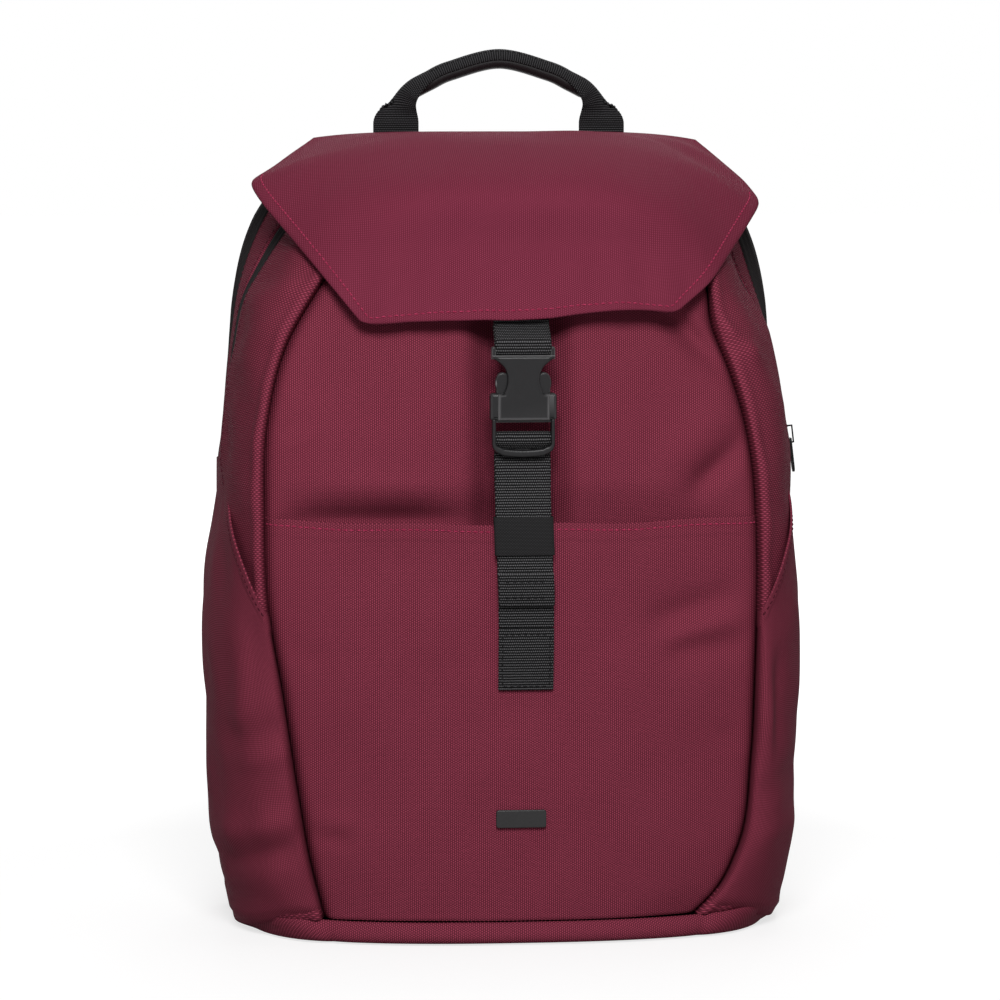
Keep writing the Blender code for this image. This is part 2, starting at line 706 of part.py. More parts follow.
def build_buckle():
    """The side-release buckle, its webbing, the keeper and the sewn anchor."""
    top = SOCKET_TALL
    waist = 0.5 * (RIM_TALL + top - 0.003)
    bite = top - 0.003 - RIM_TALL
    deep = RIM_HALF - 0.002 - WAIST_HALF
    radius = (bite * bite / 4 + deep * deep) / (2 * deep)
    swing = math.degrees(math.asin(bite / 2 / radius))
    right = [(RIM_HALF, 0.0), (RIM_HALF, RIM_TALL - 0.002), (RIM_HALF - 0.002, RIM_TALL)]
    right += arc(WAIST_HALF + radius, waist, radius, 180 + swing, 180 - swing, 8)[1:-1]
    horn = WEB / 2 + GAP
    horn_out = RIM_HALF - 0.0006
    right += [(horn_out, top - 0.003), (horn_out, top + HORN_TALL)]
    outline = right + [(-x, y) for x, y in reversed(right)]
    slot_top = top + HORN_TALL - BAR_TALL
    slot = [(-horn, top), (-horn, slot_top), (horn, slot_top), (horn, top)]
    centre = (0, STRAP_Y, MOUTH_Z)
    socket = plate("buckle_socket", outline, SOCKET_THICK, PLASTIC, centre, STAND, holes=(slot,))
    soften(socket, 0.3 * (horn_out - horn))
    low = (-ROOM_HALF, STRAP_Y - SOCKET_THICK / 2 + SOCKET_WALL, MOUTH_Z - 0.005)
    high = (ROOM_HALF, STRAP_Y + SOCKET_THICK / 2 - SOCKET_WALL, MOUTH_Z + top - 0.004)
    combine(socket, block("socket_room", low, high, PLASTIC, CUTTERS), "DIFFERENCE")
    for word, y in (("front", -1), ("back", 1)):
        edge = STRAP_Y + y * SOCKET_THICK
        inner = STRAP_Y + y * 0.0014
        low = (-2 * horn_out, min(edge, inner), MOUTH_Z + top - 0.001)
        high = (2 * horn_out, max(edge, inner), MOUTH_Z + top + 2 * HORN_TALL)
        combine(socket, block("horn_" + word, low, high, PLASTIC, CUTTERS), "DIFFERENCE")
    hang(socket, FLAP_AXIS)
    bar_z = MOUTH_Z + top + HORN_TALL - BAR_TALL / 2

    turn = Vector((0, STRAP_Y, bar_z))
    rise = math.hypot(BAR_TALL / 2, 0.0014) + GAP + WEB_THICK / 2
    under = 2 * (FLAP_CLOTH + GAP) + WEB_THICK
    lining_y = crown_y(FLAP_LOW_Z) - FLAP_LIFT + under + GAP
    sewn_z = mix(FLAP_LOW_Z, BODY_TOP, 0.2)
    sewn_y = mix(crown_y(sewn_z) - FLAP_OFF, lining_y - under, 0.35) + under + 0.0018
    path = [Vector((0, sewn_y, sewn_z)), Vector((0, lining_y, FLAP_LOW_Z))]
    path.append(Vector((0, lining_y, FLAP_LOW_Z - 0.0025)))
    path.append(turn + Vector((0, -rise - 0.0002, 0.0036)))
    path += wrap(turn, rise, math.radians(170), math.radians(385), 8)
    path.append(Vector((0, lining_y + 1.5 * WEB_THICK, FLAP_LOW_Z - 0.0035)))
    hang(strip("flap_strap", path, WEB, WEB_THICK, WEBBING), FLAP_AXIS)

    bar_z = MOUTH_Z - 0.0085
    low_z = MOUTH_Z - PLUG_TALL
    plug, half, _ = ladder("buckle_plug", WEB, bar_z, low_z, STRAP_Y, PLASTIC)
    yoke_low = MOUTH_Z + 0.0006
    yoke_high = MOUTH_Z + 0.0040
    yoke_half = ROOM_HALF - GAP
    thin = TONGUE_THICK / 2
    low = (-yoke_half, STRAP_Y - thin, yoke_low)
    high = (yoke_half, STRAP_Y + thin, yoke_high)
    combine(plug, block("plug_yoke", low, high, PLASTIC, CUTTERS), "UNION")
    for side in (-1, 1):
        foot = bar_z + WRAP_RADIUS + WEB_THICK / 2 + 2 * GAP
        for word, far, high_z in (("foot", half, MOUTH_Z - 2 * GAP), ("neck", yoke_half, yoke_low + 0.001)):
            near = yoke_half - 0.0026
            low = (min(side * near, side * far), STRAP_Y - thin, foot)
            high = (max(side * near, side * far), STRAP_Y + thin, high_z)
            combine(plug, block("plug_" + word + str(side), low, high, PLASTIC, CUTTERS), "UNION")
    tongue_high = MOUTH_Z + top - 0.0065
    low = (-TONGUE_HALF, STRAP_Y - thin, yoke_high - 0.001)
    high = (TONGUE_HALF, STRAP_Y + thin, tongue_high)
    combine(plug, block("plug_tongue", low, high, PLASTIC, CUTTERS), "UNION")
    soften(plug, 0.0003, 1)
    hang(plug, STRAP_AXIS)

    ear_low = RIM_TALL + GAP
    ear_high = ear_low + EAR_TALL
    for side, word in ((-1, "left"), (1, "right")):
        root = 0.0040 + GAP
        out = EAR_HALF
        shape = [(out - 0.0032, root), (out - 0.0008, root), (out - 0.0012, ear_low - 0.001), (out, ear_low)]
        shape += arc(out - 0.0035, ear_high - 0.0035, 0.0035, 0, 90, 4)
        shape += [(out - 0.0062, ear_high - 0.001), (out - 0.0050, ear_low + 0.001)]
        shape = [(side * x, z) for x, z in shape]
        pivot = Vector((side * (out - 0.002), STRAP_Y, MOUTH_Z + root))
        local = [(x - pivot.x, z - root) for x, z in shape]
        made = plate(word + "_prong", local, TONGUE_THICK, PLASTIC, pivot, STAND)
        soften(made, 0.0004, 1)

    turn = Vector((0, STRAP_Y, bar_z))
    back_y = STRAP_Y + WRAP_RADIUS - 0.0003
    front_y_place = STRAP_Y - RAIL_BACK + GAP + WEB_THICK / 2
    rest_y = REST_Y
    path = [Vector((0, rest_y, STRAP_AXIS_Z + GAP)), Vector((0, rest_y, TAIL_LOW_Z - 0.003))]
    path.append(Vector((0, rest_y, KEEPER_LOW_Z + KEEPER_TALL + 0.004)))
    path.append(Vector((0, mix(rest_y, back_y, 0.9), low_z)))
    path += wrap(turn, WRAP_RADIUS, 0.0, math.radians(195), 8)
    tail_y = rest_y - WEB_THICK - GAP
    path += [Vector((0, front_y_place, low_z + LIP_TALL)), Vector((0, front_y_place, low_z - 0.001))]
    path += [Vector((0, tail_y, KEEPER_LOW_Z + KEEPER_TALL + 0.006)), Vector((0, tail_y, TAIL_LOW_Z))]
    bend = 0.5 * (WEB_THICK + GAP)
    path += wrap(Vector((0, tail_y - bend, TAIL_LOW_Z)), bend, 0, -math.pi, 3)[1:]
    path.append(Vector((0, tail_y - WEB_THICK - GAP, KEEPER_LOW_Z - 0.009)))
    hang(strip("closing_strap", path, WEB, WEB_THICK, WEBBING), STRAP_AXIS)

    out = WEB / 2 + 0.0016
    deep_low = tail_y - WEB_THICK / 2 - GAP - 0.001
    deep_high = rest_y + WEB_THICK / 2 + GAP + 0.001
    hole = WEB / 2 + GAP
    keeper_high = KEEPER_LOW_Z + KEEPER_TALL
    keeper = block("strap_keeper", (-out, deep_low, KEEPER_LOW_Z), (out, deep_high, keeper_high), WEBBING)
    low = (-hole, deep_low + 0.001, KEEPER_LOW_Z - 0.01)
    high = (hole, deep_high - 0.001, keeper_high + 0.01)
    soften(keeper, 0.0004, 1)
    combine(keeper, block("keeper_room", low, high, WEBBING, CUTTERS), "DIFFERENCE")
    hang(keeper, STRAP_AXIS)

    path = []
    for i in range(7):
        z = mix(ANCHOR_LOW_Z, STRAP_AXIS_Z - GAP / 2, i / 6)
        rest = crown_y(z) - 2 * GAP - WEB_THICK / 2
        path.append(Vector((0, mix(rest, rest_y, ease(i / 6)), z)))
    strip("strap_anchor", path, WEB, WEB_THICK, WEBBING)


def build_handle():
    """Grip webbing round its core, and the two sewn ends."""
    base_z = BODY_TOP - HANDLE_SINK
    y = REAR_Y + GAP + HANDLE_THICK / 2
    crest = base_z + HANDLE_RISE
    knots = []
    for x, z in ((-1.0, 0.0), (-1.0, 0.36), (-0.80, 0.70), (-0.42, 0.94), (0.0, 1.0)):
        knots.append(Vector((x * HANDLE_HALF, y, base_z + z * (HANDLE_RISE - GRIP_DROP))))
    knots += [Vector((-k.x, k.y, k.z)) for k in reversed(knots[:-1])]
    path = smooth_path(knots, 32)
    loops = []
    for i, spot in enumerate(path):
        ahead = path[min(i + 1, 32)] - path[max(i - 1, 0)]
        ahead.normalize()
        if i in (0, 32):
            ahead = Vector((0, 0, 1 if i == 0 else -1))
        across = Vector((0, 1, 0)).cross(ahead)
        fold = ease((min(i, 32 - i) - 3) / 5)
        wide = mix(HANDLE_WEB / 2, GRIP_HALF_TALL, fold)
        deep = mix(HANDLE_THICK / 2, GRIP_HALF_DEEP, fold)
        power = mix(0.35, 0.8, fold)
        loop = []
        for k in range(14):
            angle = 2 * math.pi * k / 14
            c = math.copysign(abs(math.cos(angle)) ** power, math.cos(angle))
            d = math.copysign(abs(math.sin(angle)) ** power, math.sin(angle))
            loop.append(spot + across * (wide * c) + Vector((0, deep * d, 0)))
        loops.append(loop)
    axis = Vector((0, y + HANDLE_THICK / 2 + GAP, base_z))
    webbing = loft("handle_webbing", loops, WEBBING)
    core_knots = []
    for x, sag in ((-1.0, 1.0), (-0.52, 0.23), (0.0, 0.0), (0.52, 0.23), (1.0, 1.0)):
        core_knots.append(Vector((x * GRIP_HALF, y, crest - GRIP_DROP - CORE_LOW - sag * CORE_SAG)))
    tube = {}
    for name, grow, group in (("handle_core", 0.0, None), ("core_room", GAP, CUTTERS)):
        data = bpy.data.curves.new(name, "CURVE")
        data.dimensions = "3D"
        data.bevel_depth = GRIP_RADIUS + grow
        data.bevel_resolution = 2
        data.use_fill_caps = True
        line = smooth_path(core_knots, 12)
        if grow:
            line[0] = line[0] + (line[0] - line[1]).normalized() * 2 * grow
            line[-1] = line[-1] + (line[-1] - line[-2]).normalized() * 2 * grow
        spline = data.splines.new("POLY")
        spline.points.add(len(line) - 1)
        for dot, spot in zip(spline.points, line):
            dot.co = (*spot, 1.0)
        tube[name] = welded(name, data, RUBBER, group)
    combine(webbing, tube["core_room"], "DIFFERENCE")
    hang(webbing, axis)
    hang(tube["handle_core"], axis)
    for side, word in ((-1, "left"), (1, "right")):
        low = (side * HANDLE_HALF - HANDLE_WEB / 2, REAR_Y + GAP, base_z - HANDLE_SEWN)
        high = (side * HANDLE_HALF + HANDLE_WEB / 2, REAR_Y + GAP + HANDLE_THICK, base_z - GAP)
        made = block(word + "_handle_base", low, high, WEBBING)
        soften(made, 0.0005, 1)


def build_straps():
    """Shoulder straps that swing on a line through their two sewn ends."""
    top = Vector((STRAP_TOP_X, REAR_Y + STRAP_OUT, STRAP_TOP_Z))
    low = Vector((STRAP_LOW_X, REAR_Y + STRAP_OUT, STRAP_LOW_Z))
    long = (top - low).length

    def bulge(a):
        return STRAP_BULGE * math.sin(math.pi * min(max(a / long, 0.0), 1.0)) ** 0.85

    for side, word in ((-1, "left"), (1, "right")):
        tilt = Matrix.Rotation(math.atan2(side * (top.x - low.x), top.z - low.z), 4, "Y")
        place = Matrix.Translation((side * top.x, top.y, top.z)) @ tilt

        loops = []
        for i in range(17):
            t = i / 16
            a = GAP + t * PAD_LONG
            wide = mix(PAD_NECK, PAD_WIDE, ease(t / 0.3))
            wide = mix(wide, LOCK_WEB + 0.006, ease((t - 0.72) / 0.28)) / 2
            thick = PAD_THICK / 2 * (1 - 0.35 * ease((t - 0.85) / 0.15))
            loop = []
            for k in range(16):
                angle = 2 * math.pi * k / 16
                c = math.copysign(abs(math.cos(angle)) ** 0.6, math.cos(angle))
                d = math.copysign(abs(math.sin(angle)) ** 0.8, math.sin(angle))
                loop.append(Vector((wide * c, bulge(a) + thick * d, -a)))
            loops.append(loop)
        loft(word + "_shoulder_pad", loops, MESH_PAD).matrix_world = place

        lock_top = PAD_LONG + 2 * GAP
        bar_a = lock_top + 0.0105
        y = bulge(bar_a)
        name = word + "_ladder_lock"
        lock, half, rail_top = ladder(name, LOCK_WEB, -bar_a, -bar_a - 0.0095, y, PLASTIC, place)
        lock_low = (-half, y - LOCK_HEAD_HALF, rail_top - 0.0008)
        lock_high = (half, y + LOCK_HEAD_HALF, -lock_top)
        head = block(word + "_lock_head", lock_low, lock_high, PLASTIC, CUTTERS)
        head.matrix_world = place
        combine(lock, head, "UNION")
        soften(lock, 0.0003, 1)

        turn = Vector((0, y, -bar_a))
        path = []
        for i in range(9):
            a = mix(long - GAP, bar_a + 0.012, i / 8)
            path.append(Vector((0, mix(bulge(a), y + WRAP_RADIUS, ease(i / 8)), -a)))
        path += wrap(turn, WRAP_RADIUS, 0.0, math.radians(195), 8)
        behind = y - RAIL_BACK + GAP + WEB_THICK / 2
        path += [Vector((0, behind, -bar_a - 0.0050)), Vector((0, behind, -bar_a - 0.0105))]
        for share in (0.28, 0.45, 0.7, 1.0):
            a = bar_a + STRAP_TAIL * share
            t = (long - GAP - a) / (long - GAP - bar_a - 0.012)
            under = mix(bulge(a), y + WRAP_RADIUS, ease(t))
            path.append(Vector((0, under - mix(2.6 * WEB_THICK, WEB_THICK + 2 * GAP, share), -a)))
        made = strip(word + "_strap_webbing", path, LOCK_WEB, WEB_THICK, WEBBING)
        made.matrix_world = place

        wing = block(
            word + "_strap_wing",
            (-PAD_NECK / 2, -STRAP_OUT + GAP, GAP),
            (PAD_NECK / 2, PAD_THICK / 2, WING_TALL),
            CANVAS,
        )
        soften(wing, 0.002)
        wing.matrix_world = place

        wedge = bmesh.new()
        bmesh.ops.create_cube(wedge, size=1.0)
        for vert in wedge.verts:
            up = vert.co.z > 0
            far = vert.co.y > 0
            wide = LOCK_WEB / 2 + 0.001 + (0.0 if up else TAB_FLARE)
            depth = (WEB_THICK + GAP if up else TAB_THICK - STRAP_OUT) if far else GAP - STRAP_OUT
            vert.co = (math.copysign(wide, vert.co.x), depth, -long - GAP if up else -long - TAB_LONG)
        tab = from_bmesh(word + "_strap_tab", wedge, CANVAS)
        soften(tab, 0.0006, 1)
        tab.matrix_world = place


def slider_place(line, y):
    """Where a slider's own axes lie: out from the zip, across it, and up along its straight run."""
    high_z = SLIDER_Z + SLIDER_TALL + SLIDE_RUN
    low = Vector((half_width(line, SLIDER_Z), 0, SLIDER_Z))
    along = (Vector((half_width(line, high_z), 0, high_z)) - low).normalized()
    out = Vector((along.z, 0, -along.x))
    crest = 0.0
    for i in range(9):
        z = mix(SLIDER_Z, high_z, i / 8)
        crest = max(crest, out.dot(Vector((half_width(line, z), 0, z)) - low))
    spot = low + out * (crest + GAP)
    tilt = Matrix.Rotation(math.atan2(along.x, along.z), 4, "Y")
    return Matrix.Translation((spot.x, y, spot.z)) @ tilt


def build_sliders():
    """A slider and a swinging pull low on the right-hand run of each zip."""
    for word, line, line_y in (("main", ZIP_LINE, MAIN_ZIP_Y), ("laptop", BACK_LINE, LAPTOP_ZIP_Y)):
        place = slider_place(line, line_y + (ZIP_WIDTH - GAP) / 2)
        wide = SLIDER_WIDE / 2
        made = block(word + "_slider", (0, -wide, 0), (SLIDER_THICK, wide, SLIDER_TALL), STEEL)
        soften(made, 0.0004)
        bail = bpy.data.curves.new(word + "_bail", "CURVE")
        bail.dimensions = "3D"
        bail.bevel_depth = BAIL_WIRE
        bail.bevel_resolution = 1
        bail.use_fill_caps = True
        swing = PULL_EYE_HALF + BAIL_WIRE
        pivot = Vector((SLIDER_THICK + BAIL_IN, 0, BAIL_IN + swing))
        tip = pivot.x + swing
        root = SLIDER_THICK - BAIL_SINK
        top_z = SLIDER_TALL - BAIL_IN
        low_z = pivot.z - swing
        spline = bail.splines.new("POLY")
        spline.points.add(3)
        for dot, (x, z) in zip(spline.points, ((root, top_z), (tip, top_z), (tip, low_z), (root, low_z))):
            dot.co = (x, 0, z, 1.0)
        wire = welded(word + "_bail", bail, STEEL, CUTTERS)
        combine(made, wire, "UNION")
        for piece in (made, wire):
            piece.matrix_world = place
        half = PULL_WIDE / 2
        outline = arc(0, -PULL_LONG + half, half, 180, 360, 6)
        outline += [(half, PULL_HEAD), (-half, PULL_HEAD)]
        eye_low = -PULL_HEAD - PULL_EYE_LONG
        eye = [(-PULL_EYE_HALF, -PULL_HEAD), (-PULL_EYE_HALF, eye_low)]
        eye += [(PULL_EYE_HALF, eye_low), (PULL_EYE_HALF, -PULL_HEAD)]
        turn = place.to_3x3() @ Matrix.Rotation(math.pi / 2, 3, "Z") @ STAND
        plate(word + "_pull", outline, PULL_THICK, STEEL, place @ pivot, turn, holes=(eye,))


build_body()
build_flap()
build_buckle()
build_handle()
build_straps()
build_sliders()
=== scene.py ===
# %% [markdown]
# # A travel backpack, dressed over its solids
# The imported solids are the frame: real size, in metres, front towards -Y, the origin under the middle
# of the base. This script lays cloth, webbing, stitching and moulded plastic over them. Every piece but
# the flap's cloth and lining rides on the body that carries it.

# %% Load the frame
import math

import bpy
import numpy as np
from mathutils import Matrix, Vector


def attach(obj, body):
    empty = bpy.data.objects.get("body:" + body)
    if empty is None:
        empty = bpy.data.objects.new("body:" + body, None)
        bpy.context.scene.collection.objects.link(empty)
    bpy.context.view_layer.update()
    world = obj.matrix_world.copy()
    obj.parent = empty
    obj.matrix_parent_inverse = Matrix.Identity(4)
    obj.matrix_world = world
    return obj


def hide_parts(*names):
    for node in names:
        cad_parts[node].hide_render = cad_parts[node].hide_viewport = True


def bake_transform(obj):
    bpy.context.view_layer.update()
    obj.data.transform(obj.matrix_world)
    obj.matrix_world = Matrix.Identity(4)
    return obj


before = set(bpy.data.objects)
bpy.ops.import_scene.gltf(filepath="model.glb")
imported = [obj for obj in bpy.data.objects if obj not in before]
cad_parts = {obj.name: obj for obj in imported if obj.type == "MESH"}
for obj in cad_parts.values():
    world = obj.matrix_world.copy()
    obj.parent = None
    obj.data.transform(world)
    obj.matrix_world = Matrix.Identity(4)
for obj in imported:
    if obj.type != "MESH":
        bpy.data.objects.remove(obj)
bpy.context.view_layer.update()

# %% [markdown]
# ## Sizes
# A sewn bag is drawn as a few outlines seen from the front, and places from front to back. The values
# repeat the solids' own sizes, so that the cloth lies where the solids are. They could be read off the
# solids' corners, but the curves between the corners need the formula, so the formula is repeated.

# %% Sizes of the bag
SEAM_Z, KNEE_Z = 0.0115, 0.205
FRONT_TOP, ZIP_TOP, BODY_TOP = 0.380, 0.392, 0.400
ZIP_END_Z = 0.234
BODY_HALF, BODY_TOE = 0.145, 0.005
ZIP_CORNER, BODY_CORNER, ZIP_ROUND, BODY_ROUND = 0.115, 0.080, 2.4, 2.7
FRONT_Y, FRONT_TOE_IN, FRONT_LEAN, SEAM_DEPTH = -0.078, 0.008, 0.030, 0.014
MAIN_ZIP_Y, ZIP_WIDTH, MID_WIDTH, BACK_WIDTH, BACK_THICK = 0.008, 0.009, 0.027, 0.019, 0.008
MID_Y = MAIN_ZIP_Y + ZIP_WIDTH
LAPTOP_ZIP_Y = MID_Y + MID_WIDTH
BACK_GUSSET_Y = LAPTOP_ZIP_Y + ZIP_WIDTH
BACK_Y = BACK_GUSSET_Y + BACK_WIDTH
REAR_Y = BACK_Y + BACK_THICK
POCKET_TOP_Z = 0.2125
BOTTLE_LOW_Z, BOTTLE_HIGH_Z, BOTTLE_ROOM = 0.164, 0.238, {-1: 0.0078, 1: 0.0034}
ARCH_FLAT, ARCH_FOOT = 0.15, 0.60
GAP = 0.0004
CANVAS_THICK = 0.0012

# %% [markdown]
# ## Outlines
# The front panel is narrower than the bag, and its seam is not quite the same on both sides: packed
# cloth pulls the left seam in early and the right seam late. A smooth curve through a few knots
# (height, half width) draws each one. The zip and the back follow rounded arches.

# %% Outline formulas
LEFT_SEAM = (
    (0.0095, 0.0955), (0.042, 0.1036), (0.073, 0.1090), (0.123, 0.1166), (0.173, 0.1246), (0.210, 0.1258),
    (0.262, 0.1238), (0.301, 0.1128), (0.328, 0.0965), (0.355, 0.078), (0.372, 0.058), (0.380, 0.040),
)
RIGHT_SEAM = (
    (0.0095, 0.0873), (0.023, 0.1005), (0.044, 0.1112), (0.090, 0.1176), (0.130, 0.1192), (0.208, 0.1196),
    (0.236, 0.1178), (0.260, 0.1136), (0.285, 0.1062), (0.305, 0.0985), (0.338, 0.0925), (0.362, 0.074),
    (0.380, 0.040),
)
LEFT_DRAWN_IN, LEFT_LOW_Z, LEFT_HIGH_Z = 0.0030, 0.228, 0.352
RIGHT_SWELL, RIGHT_SWELL_Z, RIGHT_SWELL_TALL = 0.0036, 0.342, 0.032
ZIP_SHOWN_Z, ZIP_HIDDEN_Z, ZIP_SPAN = 0.285, 0.376, 0.020
ZIP_BULGE, ZIP_BULGE_Z, ZIP_SLACK, ZIP_SLACK_Z = 0.0060, 0.315, 0.0064, 0.331


def ease(t):
    """Smooth step from 0 to 1."""
    t = np.clip(t, 0.0, 1.0)
    return t * t * (3 - 2 * t)


def mix(a, b, t):
    """Straight blend."""
    return a + (b - a) * t


def hump(place, middle, width, power=2):
    """A soft hump, 1 at its middle."""
    return np.exp(-(((place - middle) / width) ** power))


def through(knots, place):
    """A smooth curve through (place, value) knots."""
    at, value = np.array(knots, float).T
    slope = np.gradient(value, at)
    k = np.clip(np.searchsorted(at, place) - 1, 0, len(at) - 2)
    wide = at[k + 1] - at[k]
    t = np.clip((place - at[k]) / wide, 0.0, 1.0)
    start = (1 + 2 * t) * (1 - t) ** 2 * value[k] + t * (1 - t) ** 2 * wide * slope[k]
    return start + t * t * (3 - 2 * t) * value[k + 1] + t * t * (t - 1) * wide * slope[k + 1]


def seam_half(z, side):
    """Half width of the front panel at a height, on the side that the sign names."""
    return np.where(np.asarray(side) < 0, through(LEFT_SEAM, z), through(RIGHT_SEAM, z))


def body_half(z, top=BODY_TOP, corner=BODY_CORNER, power=BODY_ROUND):
    """Half width of the bag's outline at a height."""
    low = BODY_HALF - BODY_TOE * np.clip((KNEE_Z - z) / (KNEE_Z - SEAM_Z), 0.0, 2.0) ** 2
    t = np.clip((z - KNEE_Z) / (top - KNEE_Z), 0.0, 1.0)
    high = BODY_HALF - corner * (1 - (1 - t**power) ** (1 / power))
    return np.where(z < KNEE_Z, low, high)


def lopsided(z, side):
    """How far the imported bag's back outline is pushed in on its left and out on its right shoulder."""
    left = LEFT_DRAWN_IN * ease((z - LEFT_LOW_Z) / 0.03) * ease((LEFT_HIGH_Z - z) / 0.05)
    return np.where(np.asarray(side) < 0, -left, RIGHT_SWELL * hump(z, RIGHT_SWELL_Z, RIGHT_SWELL_TALL))


def zip_half(z):
    """Half width at the main zip."""
    return body_half(z, ZIP_TOP, ZIP_CORNER, ZIP_ROUND)


def zip_pull(z, side):
    """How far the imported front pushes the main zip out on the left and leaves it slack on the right."""
    left = np.minimum(lopsided(z, side), 0.0) * ease((z - ZIP_SHOWN_Z) / 0.03)
    left = left + ZIP_BULGE * hump(z, ZIP_BULGE_Z, ZIP_SPAN)
    return np.where(np.asarray(side) < 0, left, -ZIP_SLACK * hump(z, ZIP_SLACK_Z, ZIP_SPAN))


def arch_z(top, w, low):
    """Height along an arch: w runs from -1 at the left foot over the top to 1 at the right foot."""
    w = np.abs(w)
    if low >= KNEE_Z:
        start = math.asin((low - KNEE_Z) / (top - KNEE_Z))
        bend = np.sin(mix(math.pi / 2, start, np.clip((w - ARCH_FLAT) / (1 - ARCH_FLAT), 0, 1)))
        return KNEE_Z + (top - KNEE_Z) * bend
    bend = np.sin(math.pi / 2 * np.clip((ARCH_FOOT - w) / (ARCH_FOOT - ARCH_FLAT), 0, 1))
    foot = mix(KNEE_Z, low, (w - ARCH_FOOT) / (1 - ARCH_FOOT))
    return np.where(w <= ARCH_FOOT, KNEE_Z + (top - KNEE_Z) * bend, foot)


def arch(kind, w, low=SEAM_Z):
    """Points (x, z) on the front, zip or back outline."""
    side = np.where(w < 0, -1.0, 1.0)
    top = dict(front=FRONT_TOP, zip=ZIP_TOP, back=BODY_TOP)[kind]
    z = arch_z(top, w, low)
    if kind == "front":
        half, flat_half = seam_half(z, side), LEFT_SEAM[-1][1]
    elif kind == "zip":
        half, flat_half = zip_half(z) + zip_pull(z, side), BODY_HALF - ZIP_CORNER
    else:
        half, flat_half = body_half(z) + lopsided(z, side), BODY_HALF - BODY_CORNER
    return np.where(np.abs(w) <= ARCH_FLAT, flat_half * w / ARCH_FLAT, side * half), z


def crown_y(z):
    """Front surface along the middle of the bag."""
    low = FRONT_Y + FRONT_TOE_IN * np.clip((KNEE_Z - z) / (KNEE_Z - SEAM_Z), 0.0, 2.0) ** 2
    high = FRONT_Y + FRONT_LEAN * np.clip((z - KNEE_Z) / (FRONT_TOP - KNEE_Z), 0.0, 1.0) ** 2.2
    return np.where(z < KNEE_Z, low, high)


def front_y(x, z):
    """Front surface anywhere inside the front seam."""
    share = np.clip(np.abs(x) / seam_half(z, np.sign(x)), 0.0, 1.0)
    return crown_y(z) + SEAM_DEPTH * share**2.5


def roll(front, back, low_y, high_y, t):
    """Quarter round from a front outline point to a back outline point."""
    out = np.sin(math.pi / 2 * t)
    y = high_y - (high_y - low_y) * np.cos(math.pi / 2 * t)
    return mix(front[0], back[0], out), y, mix(front[1], back[1], out)


print("front panel half width at the pocket edge: %.1f and %.1f mm" % tuple(
    1000 * float(seam_half(POCKET_TOP_Z, s)) for s in (-1, 1)))

# %% [markdown]
# ## Making cloth
# A panel is a grid of points on its outer face, given a thickness and a rounded edge. A Solidify
# modifier would do it, but a hand-made shell also gives the edge its round, and lets the flat pattern
# be stored as a UV map in metres, so that a weave has its true size on every panel.

# %% Grids, shells and tubes
TAU = 2 * math.pi
SIDES = ((-1, "left"), (1, "right"))


def spread(columns, rows):
    """Two arrays, u and v, that run from 0 to 1 over a grid."""
    return np.meshgrid(np.linspace(0, 1, columns), np.linspace(0, 1, rows))


def grid(x, y, z):
    """Three arrays as one grid of points."""
    return np.stack(np.broadcast_arrays(x, y, z), axis=-1).astype(float)


def unit(v):
    """Vectors of length one."""
    return v / (np.linalg.norm(v, axis=-1, keepdims=True) + 1e-12)


def facing(points):
    """Outward direction at each point of a grid."""
    return unit(np.cross(np.gradient(points, axis=1), np.gradient(points, axis=0)))


def oval(count, across=1.0, up=1.0):
    """Cosines and sines round a ring, squared off by powers under 1."""
    angle = np.linspace(0, TAU, count, endpoint=False)
    c, d = np.cos(angle), np.sin(angle)
    return np.sign(c) * np.abs(c) ** across, np.sign(d) * np.abs(d) ** up


def run_of(points):
    """Distance along a line of points."""
    return np.concatenate([[0.0], np.cumsum(np.linalg.norm(np.diff(points, axis=0), axis=1))])


def ruled(across, along):
    """A flat pattern from the distances across and along it."""
    return np.stack(np.meshgrid(across, along), axis=-1)


def seen(x, z):
    """The flat pattern of a panel that faces the front or the back."""
    return np.stack([x, z], axis=-1)


def pattern(points):
    """A grid's flat pattern in metres, measured along its middle row and column."""
    rows, columns = points.shape[:2]
    return ruled(run_of(points[rows // 2]), run_of(points[:, columns // 2]))


def put(name, data):
    """A new object in the scene."""
    made = bpy.data.objects.new(name, data)
    bpy.context.scene.collection.objects.link(made)
    return made


def skin(name, verts, faces, flat, look):
    """A smooth mesh object with its flat pattern."""
    data = bpy.data.meshes.new(name)
    data.from_pydata(np.asarray(verts).tolist(), [], [list(face) for face in faces])
    index = np.empty(len(data.loops), np.int32)
    data.loops.foreach_get("vertex_index", index)
    layer = data.uv_layers.new(name="cloth")
    layer.data.foreach_set("uv", np.asarray(flat, np.float32)[index].ravel())
    data.shade_smooth()
    data.materials.append(look)
    return put(name, data)


